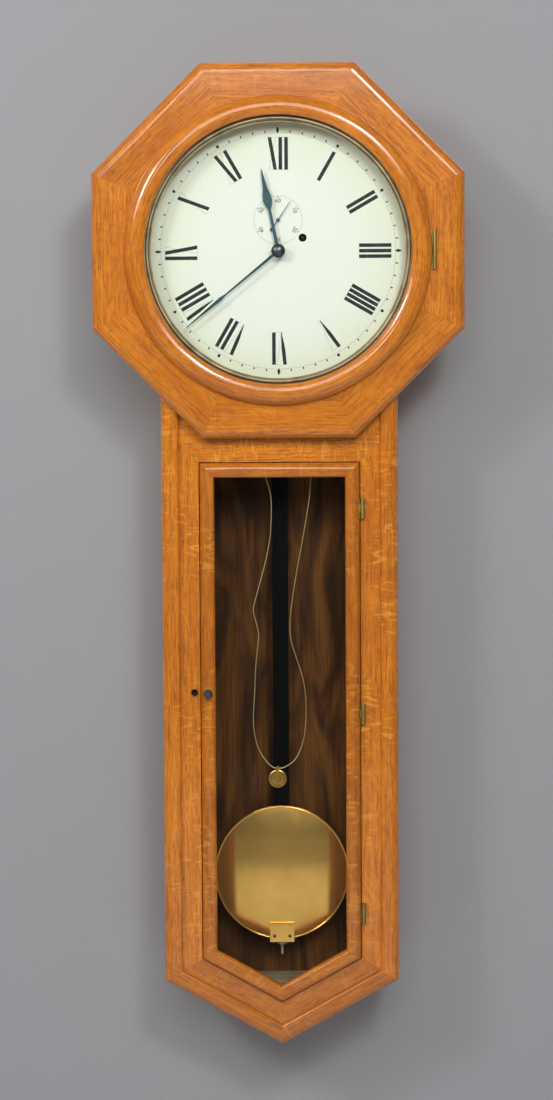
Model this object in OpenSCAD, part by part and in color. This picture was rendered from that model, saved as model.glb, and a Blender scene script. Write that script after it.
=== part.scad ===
// Wall regulator clock with an octagon head, a round glazed bezel door and a long glazed trunk.
// Millimetres. +Z is up, the clock faces -Y and its back lies on the plane y = 0.
// The origin is the mouth of the hanger hole, on the clock's plane of symmetry.
// "Depth" is the distance forward of the wall, so a depth of d is the plane y = -d.
// Most places are measured from the dial centre, dial_drop below the hanger hole.

/* [Head] */
// Octagon front, across flats
head_af = 518; // [500:1:560]
// Thickness of the octagon front boards
stave_t = 18; // [16:0.2:28]
// Round on the front outer edge of the octagon
stave_round = 14; // [4:0.5:16]
// How far the octagon front overhangs the head box
head_overhang = 13; // [8:1:18]
// Thickness of the head box boards
head_board_t = 14; // [10:1:16]
// Dial centre below the hanger hole
dial_drop = 170; // [150:5:180]

/* [Trunk] */
// Width over the outer mouldings
trunk_w = 332; // [320:1:350]
// Lowest point of the trunk below the dial centre
tip_drop = 1120; // [1060:5:1300]
// Slope of the pointed bottom, from level
v_angle = 29; // [20:1:35]
// Width of the outer moulding
moulding_w = 25.5; // [20:0.5:28]
// How far the outer moulding stands proud of the side boards
side_reveal = 6; // [4:1:10]
// Thickness of the side boards
side_t = 14; // [10:1:16]
// Depth of the trunk box, to the back of its front frame
box_d = 106; // [104:1:106]
// Thickness of the flat front frame
frame_t = 12; // [10:0.5:13]
// Thickness of the outer moulding
moulding_t = 19; // [15:0.5:19]
// Thickness of the backboard
back_t = 12; // [10:1:14]
// Height of the trunk floor above the lowest point
floor_rise = 80; // [70:2:100]

/* [Trunk door] */
// Width of the door
door_w = 224; // [200:1:232]
// Top edge of the door below the dial centre
door_drop = 294; // [285:1:330]
// Width of the door's moulded frame
door_rail = 20.5; // [16:0.5:24]
// Thickness of the door
door_t = 22; // [18:0.5:24]
// Gap around the door
door_gap = 1.2; // [1:0.1:2]
// Door glass thickness
door_glass_t = 2.5; // [2:0.5:3]
// Hinge heights below the dial centre
hinge_drops = [358, 648, 932];
// Height of lock and knob below the dial centre
lock_drop = 617; // [560:1:700]

/* [Bezel door] */
// Outer radius of the round wooden bezel
bezel_r = 213; // [206:1:222]
// Radius of the opening in the wooden bezel
bezel_in_r = 185; // [182:0.5:190]
// Thickness of the wooden bezel
bezel_t = 16; // [14:0.5:20]
// Visible radius of the dial inside the brass sight ring
sight_r = 176; // [170:0.5:178]
// Bezel glass thickness
bezel_glass_t = 2; // [1.5:0.5:3]

/* [Dial and hands] */
// Radius of the dial plate
dial_r = 196; // [190:1:200]
// Thickness of the dial plate
dial_t = 1.2; // [0.8:0.2:2]
// Length of the minute hand
minute_len = 166; // [150:1:170]
// Length of the hour hand
hour_len = 115; // [100:1:120]
// Length of the seconds hand
second_len = 31; // [26:1:33]
// Seconds arbor above the dial centre
second_up = 43; // [40:0.5:46]
// Winding arbor to the right of the dial centre and above it
wind_at = [34, 18.5];
// Radius of the winding hole
wind_hole_r = 5.6; // [4.5:0.1:7]

/* [Pendulum] */
// Pivot of the pendulum above the dial centre
pivot_up = 112; // [108:1:118]
// Pivot to the centre of the bob
pendulum_len = 1000; // [960:5:1000]
// Radius of the bob
bob_r = 97; // [80:1:98]
// Width of the pendulum rod
rod_w = 22.5; // [14:0.5:26]
// Thickness of the pendulum rod
rod_t = 8; // [6:0.5:9]
// Depth of the plane that the pendulum swings in
pendulum_depth = 40; // [38:1:42]

/* [Cable] */
// Diameter of the weight cable
cable_d = 1.5; // [1:0.1:2]
// Radius of the pulley
pulley_r = 13; // [10:0.5:16]

/* [Fits] */
// Radial clearance of pins, pivots and screws
fit = 0.05; // [0.02:0.01:0.1]
// Gap between neighbours on different bodies
clear = 0.3; // [0.2:0.05:0.5]
// Glue line between mitred boards
glue_line = 0.1; // [0.05:0.01:0.2]

/* [Hidden] */
$fn = 96;
big = 1600;
through = 200;
half = trunk_w / 2;
apothem = head_af / 2;
box_apothem = apothem - head_overhang;
head_d = box_d + moulding_t + 0.4;
face_d = head_d + stave_t;
frame_d = box_d + frame_t;
moulding_d = box_d + moulding_t;
door_back_d = box_d;
door_front_d = box_d + door_t;
door_half = door_w / 2;
door_inset = half - door_half;
glass_inset = door_inset + door_rail;
opening_half = door_half + door_gap;
opening_top = -door_drop + door_gap;
side_top = -(box_apothem - head_board_t) * sqrt(2) + half - side_reveal - side_t + 4;
moulding_top = -(box_apothem * sqrt(2) - half + side_reveal) - 2;
floor_z = -tip_drop + floor_rise;
rail_top = -bezel_in_r - 27;

hinge_r = 3.2;
hinge_pin_r = 1.2;
hinge_h = 29;
hinge_x = door_half + 4;
hinge_depth = frame_d + hinge_r;
leaf_t = 1.2;
leaf_depth = frame_t + 2 - leaf_t / 2;
knuckle_gap = 0.1;
lock_x = -opening_half - 8;
keyhole_r = 4.8;
bolt_t = 3;
bolt_h = 6;
bolt_len = 16;
bolt_throw = 5;
bolt_z = -lock_drop + keyhole_r + 1.5;
bezel_hinge_r = 2.6;
bezel_pin_r = 1;
bezel_hinge_h = 53;
bezel_hinge_x = bezel_r + 3;
bezel_leaf_w = 14;
bezel_back_d = face_d + clear;
bezel_hinge_depth = face_d + bezel_hinge_r + 0.1;
glass_back_d = bezel_back_d + 1.5;
sash_d = glass_back_d + bezel_glass_t;
rebate_r = bezel_in_r + 3.5;
bead_r = 2.8;

dial_front_d = head_d - 0.2;
dial_back_d = dial_front_d - dial_t;
dial_screw_r = dial_r - 5;
plate_t = 3;
back_plate_d = 62;
front_plate_d = dial_back_d - 19;
plate_half = [55, 70];
plate_at = [3, 20];
pivot_r = 0.8;
arbor_r = 1.5;
escape_at = [0, second_up];
verge_at = [0, second_up + 24];
motion_mod = 0.75;
minute_mod = 0.72;
train_mod = 0.75;
train_a = 27;
train_b = 25.5;
train_c = second_up;
third_turn = acos((train_a * train_a + train_c * train_c - train_b * train_b) / (2 * train_a * train_c));
third_at = [-train_a * sin(third_turn), train_a * cos(third_turn)];
great_mod = 2 * norm(wind_at) / (96 + 8);
minute_wheel_at = [-18 * sin(45), -18 * cos(45)];
screw_r = 1.8;
screw_head_t = 1.6;
dial_screw_thread_r = 1.4;
verge_r = 1.2;
second_pivot_r = 0.9;
wind_arbor_r = 3;
wind_pivot_r = 3.2;
post_at = [[-46, -36], [51, -36], [-46, 76], [51, 76]];
pillar_at = [[-38, -43], [43, -43], [-38, 83], [43, 83]];
hour_d = dial_front_d + 4.8;
minute_d = dial_front_d + 9.8;
second_d = dial_front_d + 2;
hand_t = 1;
hour_now = -11.5;
minute_now = 230.6;
second_now = 33.5;

bob_z = pivot_up - pendulum_len;
bob_rim = 11;
bob_front_bulge = 11;
bob_back_bulge = 8;
crutch_z = -20;
crutch_depth = 53;
slot_w = 3.3;
bracket_t = 6;
spring_t = 0.3;
plate_front = 2.5;

hanger_r = 5;
hanger_t = 3;
steady_r = 2.5;
steady_x = 100;
steady_z = -960;

// Route of the weight cable from the drum to its post: x, depth and height from the dial centre
CABLE = [[53, 84, 16], [53, 84, -60], [51, 86, -150], [48, 89, -240], [44, 90, -316], [41, 90, -350],
    [33, 90, -398], [24, 90, -446], [18, 90, -482], [14, 90, -516], [15, 90, -546], [24, 90, -576],
    [33, 90, -608], [36, 90, -648], [32, 90, -688], [21, 90, -715], [6, 90, -727], [-5, 90, -729],
    [-14, 90, -726], [-26, 90, -712], [-35, 90, -692], [-39, 90, -662], [-37, 90, -620], [-35, 90, -580],
    [-32, 90, -552], [-31, 90, -536], [-35, 90, -518], [-38, 90, -502], [-33, 90, -480], [-21, 90, -436],
    [-14, 90, -400], [-12, 90, -366], [-13, 90, -340], [-21, 90, -310], [-31, 89, -268], [-35, 88, -200],
    [-31, 86, -130], [-24, 84, -80], [-22, 84, -49]];
post_cable_at = [-22, -45];
pulley_at = [-5, 90, -744];

// ---- Frames of reference and shared shapes ----

module at_dial() {
    translate([0, 0, -dial_drop]) children();
}

// A flat drawing in X and Z, made solid between two depths
module slab(from, to) {
    translate([0, -from, 0]) rotate([90, 0, 0]) linear_extrude(to - from) children();
}

// A round bar along Y between two depths, at a place in X and Z
module bar(at, r, from, to, n = 48) {
    translate([at[0], -from, at[1]]) rotate([90, 0, 0]) cylinder(r = r, h = to - from, $fn = n);
}

module both_sides() {
    children();
    mirror([1, 0, 0]) children();
}

function v_tip(inset) = -tip_drop + inset / cos(v_angle);
function v_corner(inset) = v_tip(inset) + (half - inset) * tan(v_angle);
function mitre_slope() = tan(45 - v_angle / 2);

// Outline of the trunk, moved inwards by inset
module trunk_outline(inset, top) {
    polygon([[inset - half, top], [inset - half, v_corner(inset)], [0, v_tip(inset)],
        [half - inset, v_corner(inset)], [half - inset, top]]);
}

module octagon(a) {
    circle(r = a / cos(22.5), $fn = 8);
}

// Right half of the front above and below the mitre between an upright and the pointed bottom
module above_mitre(top) {
    slab(0, through) polygon([[half + 60, v_corner(0) - 60 * mitre_slope()], [half + 60, top], [0, top],
        [0, v_corner(0) + half * mitre_slope()]]);
}

module below_mitre() {
    slab(0, through) translate([0, -glue_line]) polygon([[half + 60, v_corner(0) - 60 * mitre_slope()],
        [half + 60, -big], [glue_line / 2, -big], [glue_line / 2, v_corner(0) + half * mitre_slope()]]);
}

// Cross-section of a strip, drawn with minus depth across and inset upwards
module strip(inset, width, from, to, outer_round = 0, inner_round = 0) {
    difference() {
        translate([-to, inset]) square([to - from, width]);
        corner_cut(-to, inset, outer_round, 1);
        corner_cut(-to, inset + width, inner_round, -1);
    }
}

// What a rounded corner takes away, with its corner at x, y
module corner_cut(x, y, r, dir) {
    if (r > 0) {
        translate([x, y]) scale([1, dir]) difference() {
            translate([-1, -1]) square([r + 1, r + 1]);
            translate([r, r]) circle(r = r, $fn = 64);
        }
    }
}

// The strip as the right-hand upright of the trunk
module upright() {
    translate([half, 0, -big]) linear_extrude(2 * big) rotate(90) children();
}

// The strip as the right-hand side of the pointed bottom
module v_bar() {
    translate([0, 0, v_tip(0)]) rotate([0, -v_angle, 0]) translate([-300, 0, 0])
        rotate([90, 0, 90]) linear_extrude(900) children();
}

// The strip as the bottom side of the octagon
module octagon_bar() {
    translate([-300, 0, -apothem]) rotate([90, 0, 90]) linear_extrude(600) children();
}

// One eighth of the octagon, less half a glue line at each side
module wedge(depth) {
    slab(0, depth) translate([0, -glue_line / 2 / sin(22.5)])
        polygon([[0, 0], [500 * tan(22.5), -500], [-500 * tan(22.5), -500]]);
}

// Countersunk screw with its head's face at the origin, pointing to -Z
module screw(r, length, head_r) {
    translate([0, 0, -length]) cylinder(r = r, h = length, $fn = 24);
    translate([0, 0, -screw_head_t]) difference() {
        cylinder(r = head_r, h = screw_head_t, $fn = 32);
        translate([-head_r, -0.4, 1]) cube([2 * head_r, 0.8, 1]);
    }
}

// Spur gear with straight-sided teeth, flat, centred on the origin
module gear(teeth, mod) {
    r_out = mod * teeth / 2 + mod * 0.9;
    r_in = mod * teeth / 2 - mod * 1.15;
    step = 360 / teeth;
    polygon([for (i = [0 : teeth - 1]) for (p = [[r_in, 0.3], [r_out, 0.1], [r_out, -0.1], [r_in, -0.3]])
        [p[0] * cos(step * (i - p[1])), p[0] * sin(step * (i - p[1]))]]);
}

// Wheel with four crossings, flat
module crossed(teeth, mod, rim, hub_r) {
    r = mod * teeth / 2 - mod * 1.15 - rim;
    difference() {
        gear(teeth, mod);
        for (a = [45 : 90 : 315]) rotate(a) intersection() {
            difference() {
                circle(r = r);
                circle(r = hub_r);
            }
            translate([2.2, 2.2]) square(r);
        }
    }
}

// Clockwise turn that brings a tooth (part 0) or a gap (part 0.5) of a wheel to face another arbor
function facing(from, to, teeth, part) = part * 360 / teeth - atan2(to[1] - from[1], to[0] - from[0]);

// Flat drawing at a place in X and Z between two depths, turned by a clockwise angle
module at_arbor(at, from, to, turn = 0) {
    translate([at[0], 0, at[1]]) rotate([0, turn, 0]) slab(from, to) children();
}

// Arbor between the plates with a pivot at each end
module arbor(at, front = front_plate_d + plate_t + 0.5) {
    bar(at, arbor_r, back_plate_d + plate_t + 0.5, front_plate_d - 0.5);
    bar(at, pivot_r, back_plate_d - 0.5, back_plate_d + plate_t + 0.5, 24);
    bar(at, pivot_r, front_plate_d - 0.5, front, 24);
}

// ---- Case ----

module back_screw_places() {
    for (p = [[-58, -52], [58, -52], [-58, 100], [58, 100]]) translate([p[0], 0, p[1]]) children();
}

module hanger_screw_places() {
    for (x = [-22, 22]) translate([x, 0, 0]) children();
}

module dial_screw_places() {
    for (a = [22.5 : 45 : 360]) translate([dial_screw_r * sin(a), 0, dial_screw_r * cos(a)]) children();
}

module backboard() {
    color("#5a3d22") difference() {
        at_dial() slab(0, back_t) union() {
            rotate(22.5) octagon(box_apothem);
            trunk_outline(side_reveal, 0);
        }
        bar([0, 0], hanger_r, -1, back_t + 1);
        hanger_screw_places() bar([0, 0], screw_r + fit, 2, back_t + 1, 24);
        at_dial() back_screw_places() bar([0, 0], screw_r + fit, 2, back_t + 1, 24);
        at_dial() for (x = [-steady_x, steady_x]) bar([x, steady_z], steady_r, -1, back_t + 1);
    }
}

module hanger_plate() {
    color("#b08d4f") difference() {
        slab(back_t, back_t + hanger_t) union() {
            square([60, 22], center = true);
            circle(r = 17);
        }
        bar([0, 0], hanger_r, 0, 40);
        hanger_screw_places() bar([0, 0], screw_r + fit, 0, 40, 24);
    }
}

module wood_screws() {
    color("#c4a35a") {
        hanger_screw_places() translate([0, -back_t - hanger_t - screw_head_t, 0]) rotate([90, 0, 0])
            screw(screw_r, 11, 3.6);
        at_dial() back_screw_places() translate([0, -back_t - bracket_t - screw_head_t, 0]) rotate([90, 0, 0])
            screw(screw_r, 14, 3.6);
        at_dial() dial_screw_places() translate([0, -dial_back_d + screw_head_t, 0]) rotate([-90, 0, 0])
            screw(dial_screw_thread_r, 9.6, 2.8);
    }
}

module trunk_side_right() {
    color("#b9743a") at_dial() intersection() {
        translate([half - side_reveal - side_t, -box_d, -big]) cube([side_t, box_d - back_t, big + side_top]);
        above_mitre(0);
    }
}

module trunk_side_left() {
    mirror([1, 0, 0]) trunk_side_right();
}

module trunk_bottom_boards() {
    color("#b9743a") at_dial() both_sides() intersection() {
        v_bar() strip(side_reveal, side_t, back_t, box_d);
        below_mitre();
    }
}

module trunk_floor() {
    color("#6b4c30") at_dial() slab(back_t, box_d) intersection() {
        trunk_outline(side_reveal + side_t, 0);
        translate([-half, floor_z - 10]) square([trunk_w, 10]);
    }
}

// Keyhole through the left stile, and the groove behind it that the bolt slides in
module lock_cuts() {
    bar([lock_x, -lock_drop], keyhole_r, box_d - 20, frame_d + 5);
    bolt_room(18 + bolt_throw, 12);
}

// Room for the bolt to either side of the joint between the left stile and the door
module bolt_room(outwards, inwards) {
    translate([-opening_half - outwards, -box_d - bolt_t - 2 * clear, bolt_z - clear])
        cube([outwards + inwards, bolt_t + 2 * clear + 5, bolt_h + 2 * clear]);
}

module frame_stiles() {
    color("#c87a35") at_dial() difference() {
        both_sides() intersection() {
            upright() strip(moulding_w, half - moulding_w - opening_half, box_d, frame_d);
            above_mitre(0);
            slab(0, through) polygon([[opening_half, opening_top], [half, opening_top + half - opening_half],
                [half, -big], [opening_half, -big]]);
        }
        lock_cuts();
        for (z = hinge_drops) fixed_leaf_pocket(z);
    }
}

module frame_top_rail() {
    rail_out = half - moulding_w;
    color("#c87a35") at_dial() slab(box_d, frame_d) polygon([[-opening_half, opening_top],
        [-rail_out, opening_top + rail_out - opening_half], [-rail_out, rail_top], [rail_out, rail_top],
        [rail_out, opening_top + rail_out - opening_half], [opening_half, opening_top]]);
}

module frame_v_rails() {
    color("#c87a35") at_dial() both_sides() intersection() {
        v_bar() strip(moulding_w, door_inset - door_gap - moulding_w, box_d, frame_d);
        below_mitre();
    }
}

module moulding_strip() {
    strip(0, moulding_w, box_d, moulding_d, 12, 5);
}

module trunk_mouldings() {
    color("#b8702f") at_dial() both_sides() intersection() {
        upright() moulding_strip();
        above_mitre(moulding_top);
    }
}

module trunk_v_mouldings() {
    color("#b8702f") at_dial() both_sides() intersection() {
        v_bar() moulding_strip();
        below_mitre();
    }
}

module head_boards() {
    color("#b06c30") at_dial() intersection() {
        for (k = [1 : 7]) rotate([0, 45 * k, 0]) intersection() {
            octagon_bar() strip(head_overhang, head_board_t, back_t, head_d);
            wedge(through);
        }
        slab(0, through) difference() {
            square(2 * big, center = true);
            translate([-half + side_reveal, -big]) square([trunk_w - 2 * side_reveal, big]);
        }
    }
}

module octagon_staves() {
    color("#c47a38") at_dial() difference() {
        for (k = [0 : 7]) rotate([0, 45 * k, 0]) difference() {
            intersection() {
                octagon_bar() strip(0, apothem - 150, head_d, face_d, stave_round);
                wedge(through);
            }
            bar([0, 0], bezel_in_r + 1, 0, through, 180);
        }
        dial_screw_places() bar([0, 0], dial_screw_thread_r + fit, head_d - 1, head_d + 9, 24);
        bezel_leaf_pocket();
    }
}

// ---- Dial ----

module dial_plate() {
    color("#e6ebdc") at_dial() difference() {
        bar([0, 0], dial_r, dial_back_d, dial_front_d, 180);
        bar([0, 0], 5.2, 0, through);
        bar(escape_at, 2.6, 0, through);
        bar(wind_at, wind_hole_r, 0, through);
        dial_screw_places() bar([0, 0], dial_screw_thread_r + fit, 0, through, 24);
    }
}

// ---- Lock and hinges ----

module lock_body() {
    color("#9a8456") at_dial() {
        translate([lock_x - 10, -box_d, -lock_drop - 22]) cube([17, 10, 44]);
        bar([lock_x, -lock_drop], 1.2, box_d, frame_d - 1, 24);
    }
}

module keyhole_escutcheon() {
    color("#c9a24a") at_dial() difference() {
        bar([lock_x, -lock_drop], keyhole_r + 1.1, frame_d, frame_d + 0.8);
        bar([lock_x, -lock_drop], keyhole_r, 0, through);
    }
}

module lock_bolt() {
    color("#c9a24a") at_dial()
        translate([-opening_half - 0.5 - bolt_len, -box_d - bolt_t - clear, bolt_z])
            cube([bolt_len, bolt_t, bolt_h]);
}

module fixed_leaf_pocket(z) {
    translate([opening_half - 1, -frame_d - 1, -z - hinge_h / 2]) cube([1 + leaf_t, frame_t, hinge_h]);
}

// One of a hinge's knuckles, between two heights
module knuckle(x, depth, r, pin, low, high) {
    translate([x, -depth, low]) difference() {
        cylinder(r = r, h = high - low);
        translate([0, 0, -1]) cylinder(r = pin, h = high - low + 2);
    }
}

// Case halves of the hinges: knuckles at both ends, and a leaf let into the frame
module case_hinge_leaves() {
    third = hinge_h / 3;
    color("#a98648") at_dial() {
        for (z = hinge_drops) translate([0, 0, -z - hinge_h / 2]) {
            for (low = [0, 2 * third + knuckle_gap]) {
                knuckle(hinge_x, hinge_depth, hinge_r, hinge_pin_r, low,
                    low + third - knuckle_gap);
                difference() {
                    translate([opening_half, -hinge_depth - leaf_t / 2, low])
                        cube([hinge_x - opening_half - hinge_r / 2, leaf_t, third - knuckle_gap]);
                    translate([hinge_x, -hinge_depth, -1]) cylinder(r = hinge_r - 0.5, h = hinge_h + 2);
                }
            }
            translate([opening_half, -hinge_depth - leaf_t / 2, 0]) difference() {
                cube([leaf_t, leaf_depth, hinge_h]);
                translate([-1, -1, third - knuckle_gap])
                    cube([leaf_t + 2, 4.8, third + 2 * knuckle_gap]);
            }
        }
        translate([0, 0, -bezel_hinge_h / 2]) {
            fifth = bezel_hinge_h / 5;
            for (i = [0, 2, 4]) {
                knuckle(bezel_hinge_x, bezel_hinge_depth, bezel_hinge_r, bezel_pin_r,
                    i * fifth + knuckle_gap / 2, (i + 1) * fifth - knuckle_gap / 2);
            }
            difference() {
                translate([bezel_hinge_x - bezel_leaf_w, -face_d, 0])
                    cube([bezel_leaf_w, leaf_t, bezel_hinge_h]);
                translate([bezel_hinge_x, -bezel_hinge_depth, -1]) cylinder(r = bezel_hinge_r - 0.3, h = 60);
            }
            for (i = [0, 2, 4]) difference() {
                translate([bezel_hinge_x - leaf_t, -face_d - leaf_t, i * fifth + knuckle_gap / 2])
                    cube([leaf_t, leaf_t + 0.1, fifth - knuckle_gap]);
                translate([bezel_hinge_x, -bezel_hinge_depth, -1]) cylinder(r = bezel_hinge_r - 0.3, h = 60);
            }
        }
    }
}

module bezel_leaf_pocket() {
    translate([bezel_hinge_x - bezel_leaf_w, -face_d - 1, -bezel_hinge_h / 2])
        cube([bezel_leaf_w, 1 + leaf_t, bezel_hinge_h]);
}

module hinge_pins() {
    color("#8f7a45") at_dial() {
        for (z = hinge_drops) translate([hinge_x, -hinge_depth, -z - hinge_h / 2])
            cylinder(r = hinge_pin_r - fit, h = hinge_h, $fn = 32);
        translate([bezel_hinge_x, -bezel_hinge_depth, -bezel_hinge_h / 2])
            cylinder(r = bezel_pin_r - fit, h = bezel_hinge_h, $fn = 32);
    }
}

// ---- Round bezel door ----

module bezel_ring() {
    width = bezel_r - bezel_in_r;
    crest = bezel_r - width * 0.6;
    low = 3;
    color("#c47a38") at_dial() difference() {
        translate([0, -bezel_back_d, 0]) rotate([90, 0, 0]) rotate_extrude($fn = 180) difference() {
            union() {
                translate([bezel_in_r, 0]) square([width, low]);
                intersection() {
                    translate([crest, bezel_t - width * 0.62]) circle(r = width * 0.62, $fn = 96);
                    translate([bezel_in_r, low]) square([width, bezel_t - low]);
                }
            }
            square([rebate_r, sash_d - bezel_back_d + 1]);
        }
        translate([bezel_hinge_x - bezel_leaf_w, -bezel_back_d - leaf_t, -bezel_hinge_h / 2])
            cube([bezel_leaf_w, leaf_t + 1, bezel_hinge_h]);
    }
}

module sight_ring() {
    color("#8d7a52") at_dial() translate([0, -sash_d, 0]) rotate([90, 0, 0]) rotate_extrude($fn = 180) {
        translate([sight_r, 0]) square([rebate_r - 0.3 - sight_r, 1]);
        intersection() {
            translate([bezel_in_r - bead_r - 1.6, 2.2]) circle(r = bead_r, $fn = 64);
            translate([sight_r, 0]) square(20);
        }
    }
}

module bezel_glass() {
    color([0.8, 0.9, 0.9, 0.35]) at_dial() bar([0, 0], rebate_r - 0.5, glass_back_d, sash_d, 180);
}

module glass_retainer() {
    color("#8d7a52") at_dial() difference() {
        bar([0, 0], rebate_r - 0.3, bezel_back_d + 0.2, glass_back_d, 180);
        bar([0, 0], sight_r + 4, 0, through, 180);
    }
}

module bezel_hinge_leaf() {
    fifth = bezel_hinge_h / 5;
    color("#a98648") at_dial() translate([0, 0, -bezel_hinge_h / 2]) {
        for (i = [1, 3]) {
            knuckle(bezel_hinge_x, bezel_hinge_depth, bezel_hinge_r, bezel_pin_r,
                i * fifth + knuckle_gap / 2, (i + 1) * fifth - knuckle_gap / 2);
        }
        translate([bezel_hinge_x - bezel_leaf_w, -bezel_back_d - leaf_t, 0])
            cube([bezel_leaf_w - bezel_hinge_r - clear, leaf_t, bezel_hinge_h]);
        for (i = [1, 3]) difference() {
            translate([bezel_hinge_x - bezel_hinge_r - 1, -bezel_back_d - leaf_t, i * fifth + knuckle_gap / 2])
                cube([bezel_hinge_r, leaf_t, fifth - knuckle_gap]);
            translate([bezel_hinge_x, -bezel_hinge_depth, -1]) cylinder(r = bezel_hinge_r - 0.3, h = 60);
        }
    }
}

// ---- Trunk door ----

// Moulded door strip: rounded in front, with a rebate behind for the glass
module door_strip() {
    difference() {
        strip(door_inset, door_rail, door_back_d, door_front_d, 9, 6);
        translate([-door_back_d - 8, glass_inset - 6]) square([9, 7]);
    }
}

module door_top_cut() {
    slab(0, through)
        polygon([[0, -door_drop - door_half], [door_half, -door_drop], [door_half, -big], [0, -big]]);
}

module door_upright() {
    intersection() {
        upright() door_strip();
        above_mitre(0);
        door_top_cut();
    }
}

module door_stile_right() {
    color("#bf7434") at_dial() difference() {
        door_upright();
        for (z = hinge_drops) translate([door_half - leaf_t, -hinge_depth - leaf_t / 2, -z - hinge_h / 2])
            cube([leaf_t + 1, leaf_depth, hinge_h]);
    }
}

module door_stile_left() {
    color("#bf7434") at_dial() difference() {
        mirror([1, 0, 0]) door_upright();
        bar([-door_half + door_rail / 2, -lock_drop], 2 + fit, 0, through, 24);
        bolt_room(0, door_gap + bolt_throw + 1);
    }
}

module door_rails() {
    color("#bf7434") at_dial() {
        both_sides() intersection() {
            v_bar() door_strip();
            below_mitre();
        }
        intersection() {
            translate([-300, 0, -door_drop + door_inset]) rotate([90, 0, 90]) linear_extrude(600)
                mirror([0, 1]) door_strip();
            slab(0, through) translate([0, glue_line])
                polygon([[-door_half, -door_drop], [door_half, -door_drop], [0, -door_drop - door_half]]);
        }
    }
}

module door_glass() {
    front = door_back_d + 8;
    color([0.8, 0.9, 0.9, 0.35]) at_dial() slab(front - door_glass_t, front) intersection() {
        trunk_outline(glass_inset - 5.5, 0);
        translate([-half, -big]) square([trunk_w, big - door_drop - door_rail + 5.5]);
    }
}

module door_knob() {
    knob_at = [-door_half + door_rail / 2, -lock_drop];
    color("#3c444c") at_dial() {
        bar(knob_at, 2, door_back_d + 1, door_front_d, 24);
        translate([knob_at[0], -door_front_d, knob_at[1]]) rotate([90, 0, 0]) rotate_extrude($fn = 64)
            intersection() {
                union() {
                    square([3.4, 6]);
                    translate([0, 7]) circle(r = 6.2, $fn = 64);
                }
                square([20, 12]);
            }
    }
}

// Door halves of the hinges: the middle knuckle and a leaf let into the door's edge
module door_hinge_leaves() {
    third = hinge_h / 3;
    color("#a98648") at_dial() for (z = hinge_drops) translate([0, 0, -z - hinge_h / 2]) {
        knuckle(hinge_x, hinge_depth, hinge_r, hinge_pin_r, third, 2 * third);
        difference() {
            translate([door_half - leaf_t, -hinge_depth - leaf_t / 2, third])
                cube([hinge_x - door_half + leaf_t - hinge_r / 2, leaf_t, third]);
            translate([hinge_x, -hinge_depth, -1]) cylinder(r = hinge_r - 0.5, h = hinge_h + 2);
        }
        translate([door_half - leaf_t, -hinge_depth - leaf_t / 2, 0]) cube([leaf_t, leaf_depth, hinge_h]);
    }
}

// ---- Movement frame ----

module movement_bracket() {
    color("#2d2d2f") at_dial() difference() {
        union() {
            slab(back_t, back_t + bracket_t) difference() {
                translate([0, 26]) square([140, 176], center = true);
                translate([0, 20]) square([76, 90], center = true);
            }
            for (p = post_at) bar(p, 6, back_t + bracket_t - 0.5, back_plate_d);
            translate([-9, -pendulum_depth - 7, pivot_up + 0.5]) cube([18, pendulum_depth + 6.5 - back_t, 1]);
        }
        translate([-20, -100, pivot_up]) cube([40, 82, 1.6]);
        back_screw_places() bar([0, 0], screw_r + fit, 0, 60, 24);
        for (p = post_at) bar(p, screw_r + fit, back_plate_d - 12, back_plate_d + 1, 24);
        translate([0, 0, pivot_up]) cock_screw_places() bar([0, 0], screw_r + fit, back_t, back_t + 20, 24);
    }
}

module cock_screw_places() {
    for (x = [-24, 24]) translate([x, 0, -6]) children();
}

module movement_screws() {
    color("#5b6470") at_dial() {
        for (p = post_at) translate([p[0], -back_plate_d - plate_t - screw_head_t, p[1]]) rotate([90, 0, 0])
            screw(screw_r, 14, 3.4);
        for (p = pillar_at) translate([p[0], -front_plate_d - plate_t - screw_head_t, p[1]]) rotate([90, 0, 0])
            screw(screw_r, 12, 3.4);
        translate([0, 0, pivot_up]) cock_screw_places()
            translate([0, -back_t - bracket_t - 4 - screw_head_t, 0]) rotate([90, 0, 0]) screw(screw_r, 9, 3.4);
    }
}

module plate_drawing() {
    translate(plate_at) offset_square(plate_half[0], plate_half[1], 8);
}

// Rectangle with round corners, from half sizes
module offset_square(x, z, r) {
    square([2 * x, 2 * (z - r)], center = true);
    square([2 * (x - r), 2 * z], center = true);
    for (i = [-1, 1]) for (k = [-1, 1]) translate([i * (x - r), k * (z - r)]) circle(r = r, $fn = 32);
}

module back_plate() {
    color("#c9a35a") at_dial() difference() {
        slab(back_plate_d, back_plate_d + plate_t) plate_drawing();
        for (p = [escape_at, third_at, [0, 0], wind_at]) bar(p, pivot_r + fit, 0, through, 24);
        bar(verge_at, verge_r + fit, 0, through, 24);
        for (p = post_at) bar(p, screw_r + fit, 0, through, 24);
    }
}

module front_plate() {
    color("#c9a35a") at_dial() difference() {
        slab(front_plate_d, front_plate_d + plate_t) plate_drawing();
        bar(third_at, pivot_r + fit, 0, through, 24);
        bar(escape_at, second_pivot_r + fit, 0, through, 24);
        bar(verge_at, verge_r + fit, 0, through, 24);
        bar([0, 0], arbor_r + fit, 0, through, 24);
        bar(wind_at, wind_pivot_r + fit, 0, through, 24);
        bar(minute_wheel_at, 1.2, 0, through, 24);
        for (p = pillar_at) bar(p, screw_r + fit, 0, through, 24);
    }
}

module plate_pillars() {
    color("#b98f45") at_dial() difference() {
        for (p = pillar_at) {
            bar(p, 3.5, back_plate_d + plate_t, front_plate_d);
            bar(p, 5, back_plate_d + plate_t, back_plate_d + plate_t + 3);
            bar(p, 5, front_plate_d - 3, front_plate_d);
        }
        for (p = pillar_at) bar(p, screw_r + fit, front_plate_d - 12, front_plate_d + 1, 24);
    }
}

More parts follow.
